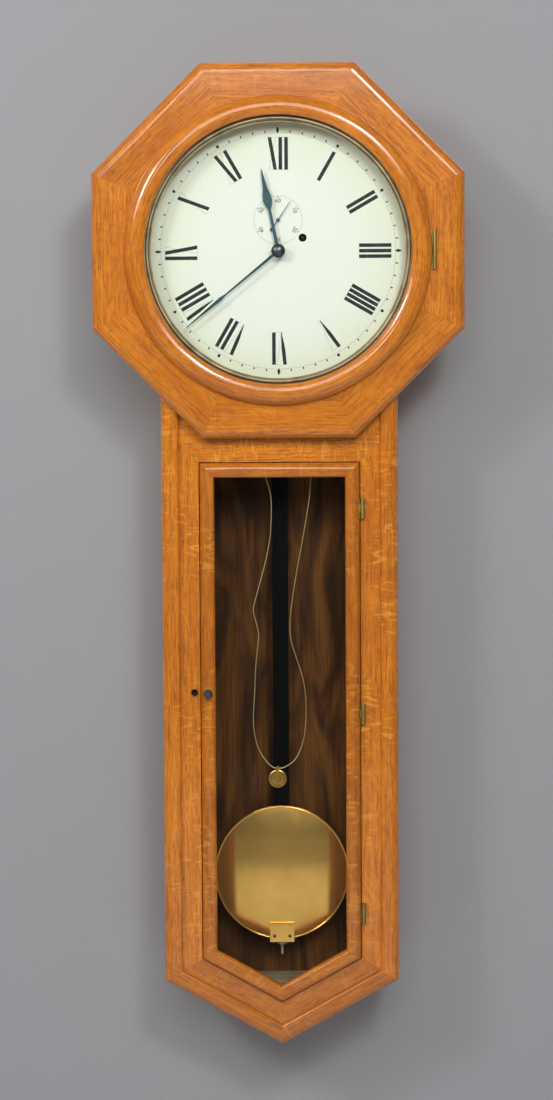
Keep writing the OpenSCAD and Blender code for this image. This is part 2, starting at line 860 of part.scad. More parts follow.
module suspension_cock() {
    color("#3a3a3c") at_dial() difference() {
        translate([0, 0, pivot_up]) union() {
            translate([-32, -back_t - bracket_t - 4, -14]) cube([64, 4, 36]);
            translate([-9, -pendulum_depth - 8, clear]) cube([18, pendulum_depth + 8 - back_t - bracket_t, 8]);
        }
        translate([0, 0, pivot_up]) cock_screw_places() bar([0, 0], screw_r + fit, 0, through, 24);
        translate([-7, -pendulum_depth - 1.6, pivot_up + clear + 3]) cube([14, 3.2, 20]);
    }
}

module cable_post() {
    color("#b98f45") at_dial() {
        bar(post_cable_at, 2, back_plate_d + plate_t, front_plate_d, 32);
        bar(post_cable_at, 3.2, 80, 88, 32);
    }
}

// ---- Escapement, train and motion work ----

module pallets() {
    color("#8d949c") at_dial() {
        bar(verge_at, verge_r, 56, front_plate_d + plate_t + 0.5, 24);
        at_arbor(verge_at, 89.5, 93.5) difference() {
            union() {
                circle(r = 5, $fn = 32);
                both_flat() polygon([[0, 4], [14, -1], [20, -9], [20.6, -19], [18.8, -19], [16, -9.5], [11, -4],
                    [0, -3.5]]);
            }
            circle(r = verge_r, $fn = 24);
        }
    }
}

module both_flat() {
    children();
    mirror([1, 0]) children();
}

module crutch() {
    drop = verge_at[1] - crutch_z;
    color("#8d949c") at_dial() {
        at_arbor(verge_at, crutch_depth - 3, crutch_depth + 3) difference() {
            circle(r = 4.5, $fn = 32);
            circle(r = verge_r, $fn = 24);
        }
        translate([0, -crutch_depth, crutch_z]) cylinder(r = 1.5, h = drop - 4, $fn = 24);
        bar([0, crutch_z], 1.5, pendulum_depth - rod_t / 2 - 3, crutch_depth, 24);
    }
}

module escape_wheel() {
    teeth = 30;
    r = 17;
    color("#cda552") at_dial() {
        difference() {
            at_arbor(escape_at, 90.5, 92.5) difference() {
                polygon([for (i = [0 : teeth - 1]) for (p = [[r - 3.4, -0.1], [r, 0.32], [r, 0.4], [r - 3.4, 0.25]])
                    [p[0] * cos(12 * (i + p[1])), -p[0] * sin(12 * (i + p[1]))]]);
                for (a = [0 : 90 : 270]) rotate(a) translate([7.6, 0]) circle(r = 3, $fn = 32);
            }
            bar(escape_at, arbor_r, 80, 100, 24);
        }
        at_arbor(escape_at, 77, 85, facing(escape_at, third_at, 8, 0.5)) gear(8, train_mod);
        bar(escape_at, arbor_r, back_plate_d + plate_t + 0.5, front_plate_d - 0.5);
        bar(escape_at, pivot_r, back_plate_d - 0.5, back_plate_d + plate_t + 0.5, 24);
        bar(escape_at, second_pivot_r, front_plate_d - 0.5, second_d + 0.6, 24);
    }
}

module seconds_hand() {
    color("#2b4a5a") at_dial() {
        at_arbor(escape_at, second_d, second_d + 0.5, second_now) difference() {
            union() {
                polygon([[-0.7, 0], [-0.35, second_len], [0.35, second_len], [0.7, 0], [0.6, -14], [-0.6, -14]]);
                translate([0, -16]) circle(r = 2.6, $fn = 32);
                circle(r = 2.4, $fn = 32);
            }
            circle(r = second_pivot_r, $fn = 24);
        }
        difference() {
            bar(escape_at, 1.7, second_d - 3, second_d, 32);
            bar(escape_at, second_pivot_r, 0, through, 24);
        }
    }
}

module third_wheel() {
    color("#cda552") at_dial() {
        arbor(third_at);
        difference() {
            at_arbor(third_at, 80, 82, facing(third_at, escape_at, 60, 0)) crossed(60, train_mod, 2.2, 5);
            bar(third_at, arbor_r, 0, through, 24);
        }
        difference() {
            at_arbor(third_at, 95.5, 102, facing(third_at, [0, 0], 8, 0.5)) gear(8, train_mod);
            bar(third_at, arbor_r, 0, through, 24);
        }
    }
}

module centre_wheel() {
    color("#cda552") at_dial() {
        bar([0, 0], arbor_r, back_plate_d + plate_t + 0.5, minute_d + 6);
        bar([0, 0], pivot_r, back_plate_d - 0.5, back_plate_d + plate_t + 0.5, 24);
        difference() {
            union() {
                at_arbor([0, 0], 98, 100, facing([0, 0], third_at, 64, 0)) crossed(64, train_mod, 2.4, 5);
                at_arbor([0, 0], 66.5, 71, facing([0, 0], wind_at, 8, 0.5)) gear(8, great_mod);
            }
            bar([0, 0], arbor_r, 0, through, 24);
        }
    }
}

module great_wheel() {
    color("#cda552") at_dial() difference() {
        at_arbor(wind_at, 67.3, 69.8, facing(wind_at, [0, 0], 96, 0)) crossed(96, great_mod, 3.6, 14);
        bar(wind_at, wind_arbor_r + fit, 0, through, 32);
    }
}

module winding_barrel() {
    color("#c39a4c") at_dial() {
        difference() {
            union() {
                bar(wind_at, 18, 73, 95);
                bar(wind_at, 21, 72.6, 74);
                bar(wind_at, 21, 94.6, 96);
            }
            for (d = [76 : 2.2 : 93]) bar_groove(d);
            bar(wind_at, wind_arbor_r, 0, through, 32);
        }
        bar(wind_at, wind_arbor_r, back_plate_d + plate_t + 0.5, front_plate_d - 0.5, 32);
        bar(wind_at, pivot_r, back_plate_d - 0.5, back_plate_d + plate_t + 0.5, 24);
        bar(wind_at, wind_pivot_r, front_plate_d - 0.5, front_plate_d + plate_t + 2, 32);
        at_arbor(wind_at, front_plate_d + plate_t + 2, dial_front_d + 0.8, 20) square(4.4, center = true);
        difference() {
            at_arbor(wind_at, 70.2, 72.6) polygon([for (i = [0 : 19]) for (p = [[13, 0], [11.4, 0.12]])
                [p[0] * cos(18 * (i + p[1])), p[0] * sin(18 * (i + p[1]))]]);
            bar(wind_at, wind_arbor_r, 0, through, 32);
        }
    }
}

// Groove around the drum for one turn of cable
module bar_groove(d) {
    translate([wind_at[0], -d, wind_at[1]]) rotate([90, 0, 0]) rotate_extrude($fn = 64)
        translate([18.3, 0]) circle(r = 0.85, $fn = 24);
}

module click() {
    color("#5b6470") at_dial() {
        at_arbor(wind_at, 70.1, 72) union() {
            translate([-18, 10]) circle(r = 3, $fn = 32);
            polygon([[-20.4, 11.4], [-14, 2.6], [-13.5, -1], [-15.6, 2], [-19.4, 8]]);
        }
        at_arbor(wind_at, 70.1, 71.3) polygon([[-21.2, 9], [-26, -12], [-25, -12.4], [-20.6, 7.4]]);
    }
}

module minute_hand() {
    color("#2b4a5a") at_dial() {
        difference() {
            union() {
                bar([0, 0], 3, front_plate_d + plate_t + 1, minute_d, 48);
                at_arbor([0, 0], front_plate_d + plate_t + 2, front_plate_d + plate_t + 5,
                    facing([0, 0], minute_wheel_at, 12, 0.5)) gear(12, motion_mod);
            }
            bar([0, 0], arbor_r + fit, 0, through, 32);
        }
        at_arbor([0, 0], minute_d, minute_d + hand_t, minute_now) difference() {
            union() {
                polygon([[-2, 0], [-1.1, 95], [-2.6, 104], [-2.2, 112], [-0.5, minute_len], [0.5, minute_len],
                    [2.2, 112], [2.6, 104], [1.1, 95], [2, 0]]);
                circle(r = 7.5, $fn = 48);
            }
            circle(r = arbor_r + fit, $fn = 32);
        }
    }
}

module hand_nut() {
    color("#4a5c6c") at_dial() difference() {
        translate([0, -minute_d - hand_t, 0]) rotate([90, 0, 0]) rotate_extrude($fn = 64) intersection() {
            union() {
                square([9.6, 1.2]);
                translate([0, -6.6]) circle(r = 12.2, $fn = 64);
            }
            square([9.6, 5.6]);
        }
        bar([0, 0], arbor_r, 0, minute_d + 6, 32);
    }
}

module hour_hand() {
    color("#2b4a5a") at_dial() {
        difference() {
            union() {
                bar([0, 0], 4.4, front_plate_d + plate_t + 6, hour_d, 48);
                at_arbor([0, 0], front_plate_d + plate_t + 6.5, front_plate_d + plate_t + 8.5,
                    facing([0, 0], minute_wheel_at, 40, 0)) gear(40, minute_mod);
            }
            bar([0, 0], 3 + fit, 0, through, 48);
        }
        at_arbor([0, 0], hour_d, hour_d + hand_t, hour_now) difference() {
            union() {
                polygon([[-2.6, 0], [-1.9, 58], [-4.6, 64], [-6.2, 70], [-6, 77], [-3.2, 88], [-0.6, hour_len],
                    [0.6, hour_len], [3.2, 88], [6, 77], [6.2, 70], [4.6, 64], [1.9, 58], [2.6, 0]]);
                circle(r = 8.5, $fn = 48);
            }
            circle(r = 3 + fit, $fn = 48);
        }
    }
}

module minute_wheel() {
    base = front_plate_d + plate_t;
    color("#cda552") at_dial() {
        bar(minute_wheel_at, 1.2 - fit, front_plate_d, base + 9, 24);
        difference() {
            union() {
                at_arbor(minute_wheel_at, base + 2.5, base + 4.5, facing(minute_wheel_at, [0, 0], 36, 0))
                    gear(36, motion_mod);
                at_arbor(minute_wheel_at, base + 4.5, base + 9, facing(minute_wheel_at, [0, 0], 10, 0.5))
                    gear(10, minute_mod);
            }
            bar(minute_wheel_at, 1.2 - fit, 0, through, 24);
        }
    }
}

// ---- Pendulum ----

module suspension_spring() {
    color("#b9a26a") at_dial() {
        translate([-5, -pendulum_depth - spring_t / 2, pivot_up - 22]) cube([10, spring_t, 22]);
        difference() {
            translate([-7, -pendulum_depth - 4, pivot_up - 34]) cube([14, 8, 12]);
            bar([0, pivot_up - 30], 1.5, 0, 100, 24);
        }
    }
}

module pendulum_rod() {
    top = pivot_up - 34;
    color("#1b1b1c") at_dial() difference() {
        translate([-rod_w / 2, -pendulum_depth - rod_t / 2, bob_z - 66]) cube([rod_w, rod_t, top - bob_z + 66]);
        translate([-slot_w / 2, -100, crutch_z - 7]) cube([slot_w, 100, 14]);
        translate([0, -pendulum_depth, bob_z - 67]) cylinder(r = 2, h = 21, $fn = 24);
    }
}

module pendulum_bob() {
    front_r = (bob_r * bob_r + bob_front_bulge * bob_front_bulge) / (2 * bob_front_bulge);
    back_r = (bob_r * bob_r + bob_back_bulge * bob_back_bulge) / (2 * bob_back_bulge);
    color("#c8963e") at_dial() difference() {
        translate([0, -pendulum_depth, bob_z]) rotate([90, 0, 0]) rotate_extrude($fn = 128) {
            translate([0, -bob_rim / 2]) square([bob_r, bob_rim]);
            intersection() {
                translate([0, bob_rim / 2 + bob_front_bulge - front_r]) circle(r = front_r, $fn = 720);
                translate([0, bob_rim / 2 - 0.01]) square([bob_r, 30]);
            }
            intersection() {
                translate([0, -bob_rim / 2 - bob_back_bulge + back_r]) circle(r = back_r, $fn = 720);
                translate([0, -30 - bob_rim / 2 + 0.01]) square([bob_r, 30]);
            }
        }
        translate([-rod_w / 2 - 0.2, -pendulum_depth - rod_t / 2 - 0.2, bob_z - bob_r - 5])
            cube([rod_w + 0.4, rod_t + 0.4, 2 * bob_r + 10]);
        for (x = [-11, 11]) bar([x, bob_z - bob_r + 6], 1.1, 0, through, 24);
    }
}

module bob_bracket() {
    low = bob_z - bob_r - 0.3;
    depth = pendulum_depth + bob_rim / 2 + bob_front_bulge / 2;
    color("#d0a548") at_dial() {
        difference() {
            union() {
                translate([-17.5, -depth - plate_front, low - plate_front]) cube([35, plate_front, 27]);
                translate([-17.5, -depth - plate_front, low - plate_front])
                    cube([35, depth + plate_front - pendulum_depth + 6, plate_front]);
                translate([-17.5, -depth - plate_front - 2, low - plate_front + 22]) cube([35, 2.1, 3]);
            }
            for (x = [-11, 11]) bar([x, low + 6.3], 1.1, 0, through, 24);
            translate([0, -pendulum_depth, low - 10]) cylinder(r = 2 + fit, h = 20, $fn = 24);
        }
        for (x = [-11, 11]) translate([x, -depth - plate_front - screw_head_t, low + 6.3]) rotate([90, 0, 0])
            screw(1.1 - fit, 12, 2.2);
    }
}

module rating_rod() {
    color("#b9b6ad") at_dial() translate([0, -pendulum_depth, bob_z - bob_r - 23])
        cylinder(r = 2, h = bob_r + 23 - 46, $fn = 24);
}

module rating_nut() {
    top = bob_z - bob_r - plate_front - 0.6;
    color("#c9c6bd") at_dial() translate([0, -pendulum_depth, top - 6]) difference() {
        union() {
            translate([0, 0, 2]) cylinder(r = 8.5, h = 4);
            cylinder(r = 4.5, h = 2.1);
        }
        translate([0, 0, -1]) cylinder(r = 2 + fit, h = 10, $fn = 32);
    }
}

// ---- Cable and pulley ----

function unit(v) = v / norm(v);
function at_point(p) = [p[0], -p[1], p[2] - dial_drop];
// Point on the smooth curve through four neighbouring route points
function blend(a, b, c, d, t) = 0.5 * (2 * b + (c - a) * t + (2 * a - 5 * b + 4 * c - d) * t * t
    + (3 * b - a - 3 * c + d) * t * t * t);
function route_point(i) = at_point(CABLE[max(0, min(len(CABLE) - 1, i))]);
function route() = concat([for (i = [0 : len(CABLE) - 2]) for (t = [0, 0.5])
    blend(route_point(i - 1), route_point(i), route_point(i + 1), route_point(i + 2), t)],
    [route_point(len(CABLE) - 1)]);

// Tube of eight sides swept along points that stay close to an upright plane
module swept(points, r) {
    n = len(points);
    sides = 8;
    rings = [for (i = [0 : n - 1])
        let (t = unit(points[min(n - 1, i + 1)] - points[max(0, i - 1)]),
            across = unit(cross(t, [0, 1, 0])),
            up = cross(t, across))
        for (k = [0 : sides - 1]) points[i] + r * (cos(45 * k) * across + sin(45 * k) * up)];
    sheet = [for (i = [0 : n - 2]) for (k = [0 : sides - 1])
        [i * sides + k, i * sides + (k + 1) % sides, (i + 1) * sides + (k + 1) % sides, (i + 1) * sides + k]];
    start = [[for (k = [0 : sides - 1]) sides - 1 - k]];
    end = [[for (k = [0 : sides - 1]) (n - 1) * sides + k]];
    polyhedron(points = rings, faces = concat(start, sheet, end), convexity = 10);
}

module cable() {
    color("#b79b5e") swept(route(), cable_d / 2);
}

module pulley_wheel() {
    color("#c9a24a") at_dial() translate([pulley_at[0], -pulley_at[1], pulley_at[2]]) rotate([90, 0, 0])
        rotate_extrude($fn = 64) difference() {
            translate([1.2 + fit, -2]) square([pulley_r - 1.2 - fit, 4]);
            translate([pulley_r + 0.9, 0]) circle(r = 1.7, $fn = 32);
        }
}

// Strap over the cable, with a cheek on each side of the wheel and the wheel's axle
module pulley_stirrup() {
    top = 17.6;
    color("#b9b6ad") at_dial() translate([pulley_at[0], -pulley_at[1], pulley_at[2]]) {
        for (s = [-1, 1]) translate([0, s * 3.1, 0]) rotate([90, 0, 0]) linear_extrude(1, center = true) union() {
            translate([-1.8, -1]) square([3.6, top]);
            circle(r = 3, $fn = 32);
        }
        translate([-1.8, -3.6, top - 1.2]) cube([3.6, 7.2, 1.2]);
        rotate([90, 0, 0]) cylinder(r = 1.2, h = 8.4, center = true, $fn = 24);
    }
}

backboard();
hanger_plate();
wood_screws();
trunk_side_left();
trunk_side_right();
trunk_bottom_boards();
trunk_floor();
frame_stiles();
frame_top_rail();
frame_v_rails();
trunk_mouldings();
trunk_v_mouldings();
head_boards();
octagon_staves();
dial_plate();
lock_body();
keyhole_escutcheon();
case_hinge_leaves();
hinge_pins();
movement_bracket();
movement_screws();
back_plate();
front_plate();
plate_pillars();
suspension_cock();
cable_post();
bezel_ring();
sight_ring();
bezel_glass();
glass_retainer();
bezel_hinge_leaf();
door_stile_left();
door_stile_right();
door_rails();
door_glass();
door_knob();
door_hinge_leaves();
lock_bolt();
suspension_spring();
pendulum_rod();
pendulum_bob();
bob_bracket();
rating_rod();
rating_nut();
pallets();
crutch();
escape_wheel();
seconds_hand();
third_wheel();
centre_wheel();
great_wheel();
winding_barrel();
click();
minute_hand();
hand_nut();
hour_hand();
minute_wheel();
cable();
pulley_wheel();
pulley_stirrup();
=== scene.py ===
"""Looks of a weight-driven wall regulator clock: oak case, painted dial, brass pendulum and a slack cable.

Places are in millimetres from the dial's centre: across, depth from the wall, and up.
"""
import math
import bmesh
import bpy
import numpy as np
from mathutils import Matrix, Vector


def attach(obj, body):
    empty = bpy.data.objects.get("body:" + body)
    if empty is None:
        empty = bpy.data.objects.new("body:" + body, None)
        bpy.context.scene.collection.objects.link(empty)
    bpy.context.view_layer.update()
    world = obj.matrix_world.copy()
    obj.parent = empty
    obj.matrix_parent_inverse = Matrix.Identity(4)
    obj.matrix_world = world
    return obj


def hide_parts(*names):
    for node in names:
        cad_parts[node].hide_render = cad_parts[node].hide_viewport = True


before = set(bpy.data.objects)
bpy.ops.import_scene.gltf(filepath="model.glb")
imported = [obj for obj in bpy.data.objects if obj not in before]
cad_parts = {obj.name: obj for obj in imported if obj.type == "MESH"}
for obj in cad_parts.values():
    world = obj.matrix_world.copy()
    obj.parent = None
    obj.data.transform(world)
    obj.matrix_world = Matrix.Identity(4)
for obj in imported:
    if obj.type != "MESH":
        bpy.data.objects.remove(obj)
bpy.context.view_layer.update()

# Sizes of the clock in millimetres: depths are from the wall, and heights from the dial's centre
DIAL_DROP = 170.0  # the frame's origin above the dial's centre
APOTHEM = 259.0  # octagon, middle to flat
HEAD_BACK = 125.4  # depth behind the octagon's boards
FACE = 143.4  # depth of the octagon's face
RING_BACK = FACE + 0.3
HALF = 166.0  # half the trunk's width
TIP = -1120.0  # lowest point of the trunk
BACKBOARD = 12  # depth of the backboard's face
FRAME_BACK = 106  # depth behind the trunk's front frame
V_ANGLE = math.radians(29)  # slope of the pointed bottom
MITRE = math.tan(math.radians(30.5))  # its joint with the uprights
CORNER = 22.5  # degrees between an octagon board's middle and its mitre
GLUE = 0.06  # half the gap left at a joint between boards

# Camera, in metres and radians
CAMERA_PLACE = (0.0109, -3.4524, -0.3769)
CAMERA_YAW, CAMERA_PITCH, CAMERA_ROLL = 0.0047, -0.0627, -0.0058
CAMERA_LENS, CAMERA_SENSOR = 77.94, 36

scene = bpy.context.scene
scene.view_settings.view_transform = "Standard"


# ---- Camera ----

def aim_camera():
    """Looks a little down on the trunk from in front, turned by small yaw, pitch and roll angles."""
    yaw, pitch, roll = CAMERA_YAW, CAMERA_PITCH, CAMERA_ROLL
    ahead = np.array([-math.sin(yaw) * math.cos(pitch), math.cos(yaw) * math.cos(pitch), math.sin(pitch)])
    right = np.array([math.cos(yaw), math.sin(yaw), 0.0])
    above = np.cross(right, ahead)
    x = right * math.cos(roll) + above * math.sin(roll)
    y = above * math.cos(roll) - right * math.sin(roll)
    turn = Matrix(np.stack([x, y, -ahead], 1).tolist()).to_4x4()
    camera = bpy.data.objects.new("camera", bpy.data.cameras.new("camera"))
    scene.collection.objects.link(camera)
    camera.matrix_world = Matrix.Translation(CAMERA_PLACE) @ turn
    camera.data.lens = CAMERA_LENS
    camera.data.sensor_width = CAMERA_SENSOR
    scene.camera = camera


aim_camera()


# ---- Making pieces ----

GRAIN_STEP = np.array([371.0, 53.0, 97.0])  # moves a board's grain on, so that no two boards are alike
BENT_RADIUS = 199  # where bent grain runs at its true length
WELD = 2e-6  # metres between points that become one
LEAD = 0.2  # flat stretch beside an arc


def in_metres(p):
    """Across, depth and up from the dial's centre, in millimetres, become the clock's X, Y and Z in metres."""
    p = np.asarray(p, float)
    return np.stack([p[..., 0], -p[..., 1], p[..., 2] - DIAL_DROP], -1) / 1000


def grid_faces(nu, nv, wrap_u=False, wrap_v=False):
    """Four-sided faces between neighbours of an nu by nv grid of points."""
    i, j = np.meshgrid(np.arange(nu if wrap_u else nu - 1), np.arange(nv if wrap_v else nv - 1), indexing="ij")
    k, m = (i + 1) % nu, (j + 1) % nv
    return np.stack([i * nv + j, k * nv + j, k * nv + m, i * nv + m], -1).reshape(-1, 4).tolist()


def joined(parts):
    """Several (points, faces, grain) parts as one, with the face numbers moved on."""
    starts = np.cumsum([0] + [len(p[0]) for p in parts])
    faces = [[v + int(s) for v in f] for p, s in zip(parts, starts) for f in p[1]]
    return np.concatenate([p[0] for p in parts]), faces, np.concatenate([p[2] for p in parts])


def make(name, part, material, body, replaced=(), soft_angle=32, merge=True):
    """One piece from a part: seams are merged, faces turned outwards, and edges sharper than an angle stay hard."""
    points, faces, grain = part
    mesh = bpy.data.meshes.new(name)
    mesh.from_pydata(in_metres(points).tolist(), [], faces)
    mesh.attributes.new("grain", "FLOAT_VECTOR", "POINT").data.foreach_set("vector", (grain / 1000).ravel())
    shape = bmesh.new()
    shape.from_mesh(mesh)
    if merge:
        bmesh.ops.remove_doubles(shape, verts=shape.verts, dist=WELD)
    bmesh.ops.recalc_face_normals(shape, faces=shape.faces)
    shape.to_mesh(mesh)
    shape.free()
    mesh.polygons.foreach_set("use_smooth", [True] * len(mesh.polygons))
    mesh.set_sharp_from_angle(angle=math.radians(soft_angle))
    mesh.materials.append(material)
    piece = bpy.data.objects.new(name, mesh)
    scene.collection.objects.link(piece)
    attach(piece, body)
    if replaced:
        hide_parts(*replaced)
    return piece


def rounded(corners, radii, steps=7):
    """Closed outline in which each corner gives way to an arc of its radius, touching both sides.

    A point just before and after each arc keeps the flats beside it flat when they are shaded smoothly."""
    corners = np.asarray(corners, float)
    outline = []
    for p, a, b, r in zip(corners, np.roll(corners, 1, 0), np.roll(corners, -1, 0), radii):
        if r == 0:
            outline.append(p[None])
            continue
        a, b = (a - p) / np.linalg.norm(a - p), (b - p) / np.linalg.norm(b - p)
        half = math.acos(np.clip(a @ b, -1, 1)) / 2
        centre = p + (a + b) / np.linalg.norm(a + b) * r / math.sin(half)
        first = p + a * r / math.tan(half) - centre
        last = p + b * r / math.tan(half) - centre
        t = np.linspace(0, 1, steps)[:, None]
        sweep = math.pi - 2 * half
        arc = centre + (np.sin((1 - t) * sweep) * first + np.sin(t * sweep) * last) / math.sin(sweep)
        outline.append(np.concatenate([arc[:1] + LEAD * a, arc, arc[-1:] + LEAD * b]))
    return np.concatenate(outline)


def board(profile, start, along, inset, ends, side=1, seed=0.0):
    """Straight board: profile points (inset, depth) run along a line, between two distances that the inset sets."""
    profile, start, along, inset = (np.asarray(v, float) for v in (profile, start, along, inset))
    u, depth = profile.T
    low, high = ends(u)
    run = np.stack([low, high], -1)
    flat = start + inset * u[:, None, None] + along * run[..., None]
    across, up = side * flat[..., 0], flat[..., 1]
    deep = np.broadcast_to(depth[:, None], across.shape)
    points = np.stack([across, deep, up], -1).reshape(-1, 3)
    n = len(profile)
    faces = grid_faces(n, 2, wrap_u=True) + [list(range(0, 2 * n, 2)), list(range(2 * n - 1, 0, -2))]
    grain = np.stack([run, np.broadcast_to(u[:, None], run.shape), deep], -1).reshape(-1, 3)
    return points, faces, grain + GRAIN_STEP * (seed + 0.5 * side)


def sector(outline, middle, spread, gap, seed, steps=22, bent=False):
    """Eighth of a ring: outline rows are radius, depth and how straight the edge is, from 0 for round to 1 for flat.

    The grain runs straight along the piece, or is bent round with it."""
    radius, depth, straight = np.asarray(outline, float).T
    turn = np.radians(np.linspace(-spread + gap, spread - gap, steps))
    r = radius[:, None] * (straight[:, None] / np.cos(turn) + (1 - straight[:, None]))
    a = math.radians(middle) + turn
    deep = np.broadcast_to(depth[:, None], r.shape)
    points = np.stack([r * np.sin(a), deep, r * np.cos(a)], -1).reshape(-1, 3)
    n = len(radius)
    faces = grid_faces(n, steps, wrap_u=True)
    faces += [list(range(0, n * steps, steps)), list(range(n * steps - 1, 0, -steps))]
    along, across = (BENT_RADIUS * a + 0 * r, r) if bent else (r * np.sin(turn), r * np.cos(turn))
    grain = np.stack([along, across, deep], -1).reshape(-1, 3)
    return points, faces, grain + GRAIN_STEP * seed


def turned(profile, centre, steps=128):
    """Profile of radius and depth turned a full circle about an axis that points to the front."""
    radius, depth = np.asarray(profile, float).T
    a = np.linspace(0, 2 * math.pi, steps, endpoint=False)
    r = radius[:, None]
    points = np.stack([centre[0] + r * np.sin(a), depth[:, None] + 0 * a, centre[1] + r * np.cos(a)], -1)
    points = points.reshape(-1, 3)
    return points, grid_faces(len(radius), steps, wrap_v=True), points.copy()


# ---- Weight cable ----

PULLEY_PLACE, PULLEY_DEPTH = (-5, -744), 90
ROPE_RADIUS = 0.75
CABLE = [
    [53, 84, 16], [53, 84, -60], [51, 86, -150], [48, 89, -240], [44, 90, -316], [41, 90, -350],
    [33, 90, -398], [24, 90, -446], [18, 90, -482], [14, 90, -516], [15, 90, -546], [24, 90, -576],
    [33, 90, -608], [36, 90, -648], [32, 90, -688], [21, 90, -715], [6, 90, -727], [-5, 90, -729],
    [-14, 90, -726], [-26, 90, -712], [-35, 90, -692], [-39, 90, -662], [-37, 90, -620], [-35, 90, -580],
    [-32, 90, -552], [-31, 90, -536], [-35, 90, -518], [-38, 90, -502], [-33, 90, -480], [-21, 90, -436],
    [-14, 90, -400], [-12, 90, -366], [-13, 90, -340], [-21, 90, -310], [-31, 89, -268], [-35, 88, -200],
    [-31, 86, -130], [-24, 84, -80], [-22, 84, -49]]


def smooth_route(route, pace):
    """Smooth curve through the route's points, each stretch a cubic of its four neighbours, with even steps."""
    p = np.asarray(route, float)
    p = np.concatenate([p[:1], p, p[-1:]])
    t = np.linspace(0, 1, 40, endpoint=False)[None, :, None]
    a, b, c, d = (p[i:len(p) - 3 + i, None] for i in range(4))
    curve = 0.5 * (2 * b + (c - a) * t + (2 * a - 5 * b + 4 * c - d) * t * t + (3 * b - a - 3 * c + d) * t ** 3)
    curve = np.concatenate([curve.reshape(-1, 3), p[-1:]])
    far = np.concatenate([[0], np.cumsum(np.linalg.norm(np.diff(curve, axis=0), axis=1))])
    even = np.linspace(0, far[-1], int(far[-1] / pace))
    return np.stack([np.interp(even, far, curve[:, k]) for k in range(3)], -1), far[-1]


def rope(path, radius, strands, lay, sides=18):
    """Tube along a path whose section bulges at each strand, and turns once for every lay length."""
    ahead = np.gradient(path, axis=0)
    ahead /= np.linalg.norm(ahead, axis=1)[:, None]
    side = np.cross(ahead, [0.0, 1.0, 0.0])
    side /= np.linalg.norm(side, axis=1)[:, None]
    over = np.cross(side, ahead)
    far = np.concatenate([[0], np.cumsum(np.linalg.norm(np.diff(path, axis=0), axis=1))])
    a = np.linspace(0, 2 * math.pi, sides, endpoint=False)
    twist = a + 2 * math.pi * far[:, None] / lay
    bulge = radius * (0.86 + 0.14 * np.abs(np.cos(strands / 2 * twist)))
    points = path[:, None] + bulge[..., None] * (
        np.cos(a)[:, None] * side[:, None] + np.sin(a)[:, None] * over[:, None])
    n = len(path)
    faces = grid_faces(n, sides, wrap_v=True)
    faces += [list(range(sides)), list(range(n * sides - 1, (n - 1) * sides - 1, -1))]
    grain = np.stack([far[:, None] + 0 * a, 0 * far[:, None] + a, twist], -1).reshape(-1, 3)
    return points.reshape(-1, 3), faces, grain


# ---- Finishes ----

def linear(r, g, b):
    """A colour as it is seen, 0 to 255, becomes the light it gives back."""
    c = np.array([r, g, b]) / 255
    c = np.where(c <= 0.04045, c / 12.92, ((c + 0.055) / 1.055) ** 2.4)
    return (*c.tolist(), 1.0)


def put(tree, kind, sockets=None, **settings):
    """A new shader node with its settings; each socket gets a value, or a link where a socket is given."""
    made = tree.nodes.new(kind)
    for key, value in settings.items():
        setattr(made, key, value)
    for key, value in (sockets or {}).items():
        if isinstance(value, bpy.types.NodeSocket):
            tree.links.new(value, made.inputs[key])
        else:
            made.inputs[key].default_value = value
    return made


def finish(name, **sockets):
    """A new material with a Principled shader, constants set on its own sockets. Returns material, tree and shader."""
    material = bpy.data.materials.new(name)
    material.use_nodes = True
    tree = material.node_tree
    shader = next(n for n in tree.nodes if n.type == "BSDF_PRINCIPLED")
    for key, value in sockets.items():
        shader.inputs[key.replace("_", " ")].default_value = value
    return material, tree, shader


def noise(tree, where, scale, size=1.0, detail=3.0, roughness=0.5, distortion=0.0):
    """Noise over a place stretched by a scale along each direction."""
    spread = put(tree, "ShaderNodeMapping", {"Vector": where, "Scale": scale})
    return put(tree, "ShaderNodeTexNoise", {
        "Vector": spread.outputs[0], "Scale": size, "Detail": detail, "Roughness": roughness,
        "Distortion": distortion}).outputs[0]


def ranged(tree, value, low, high, to_low=0.0, to_high=1.0):
    """A value between low and high, carried to between two others and held there."""
    return put(tree, "ShaderNodeMapRange", {
        "Value": value, "From Min": low, "From Max": high, "To Min": to_low, "To Max": to_high}).outputs[0]


def blended(tree, share, a, b):
    """Two colours mixed by a share; a colour mixer has its two colour sockets at 6 and 7."""
    return put(tree, "ShaderNodeMix", {0: share, 6: a, 7: b}, data_type="RGBA").outputs[2]


def reckoned(tree, a, b, kind="MULTIPLY"):
    """Two values multiplied, or put together in another way."""
    return put(tree, "ShaderNodeMath", {0: a, 1: b}, operation=kind).outputs[0]


def bumped(tree, shader, height, distance, strength):
    """Small relief from a height, as deep as a distance in metres."""
    bump = put(tree, "ShaderNodeBump", {"Height": height, "Distance": distance, "Strength": strength})
    tree.links.new(bump.outputs[0], shader.inputs["Normal"])


def along_the_board(tree, source):
    """Place along, across and through a board: from its own grain attribute, or for CAD boards from their axes."""
    if source == "grain":
        return put(tree, "ShaderNodeAttribute", attribute_name="grain").outputs["Vector"]
    place = put(tree, "ShaderNodeTexCoord").outputs["Object"]
    x, y, z = put(tree, "ShaderNodeSeparateXYZ", {0: place}).outputs[:3]
    order = {"upright": (z, x, y), "level": (x, z, y)}[source]
    return put(tree, "ShaderNodeCombineXYZ", {0: order[0], 1: order[1], 2: order[2]}).outputs[0]


STAINED_WITHIN = 0.15  # metres from the middle to between the two faces of a trunk side


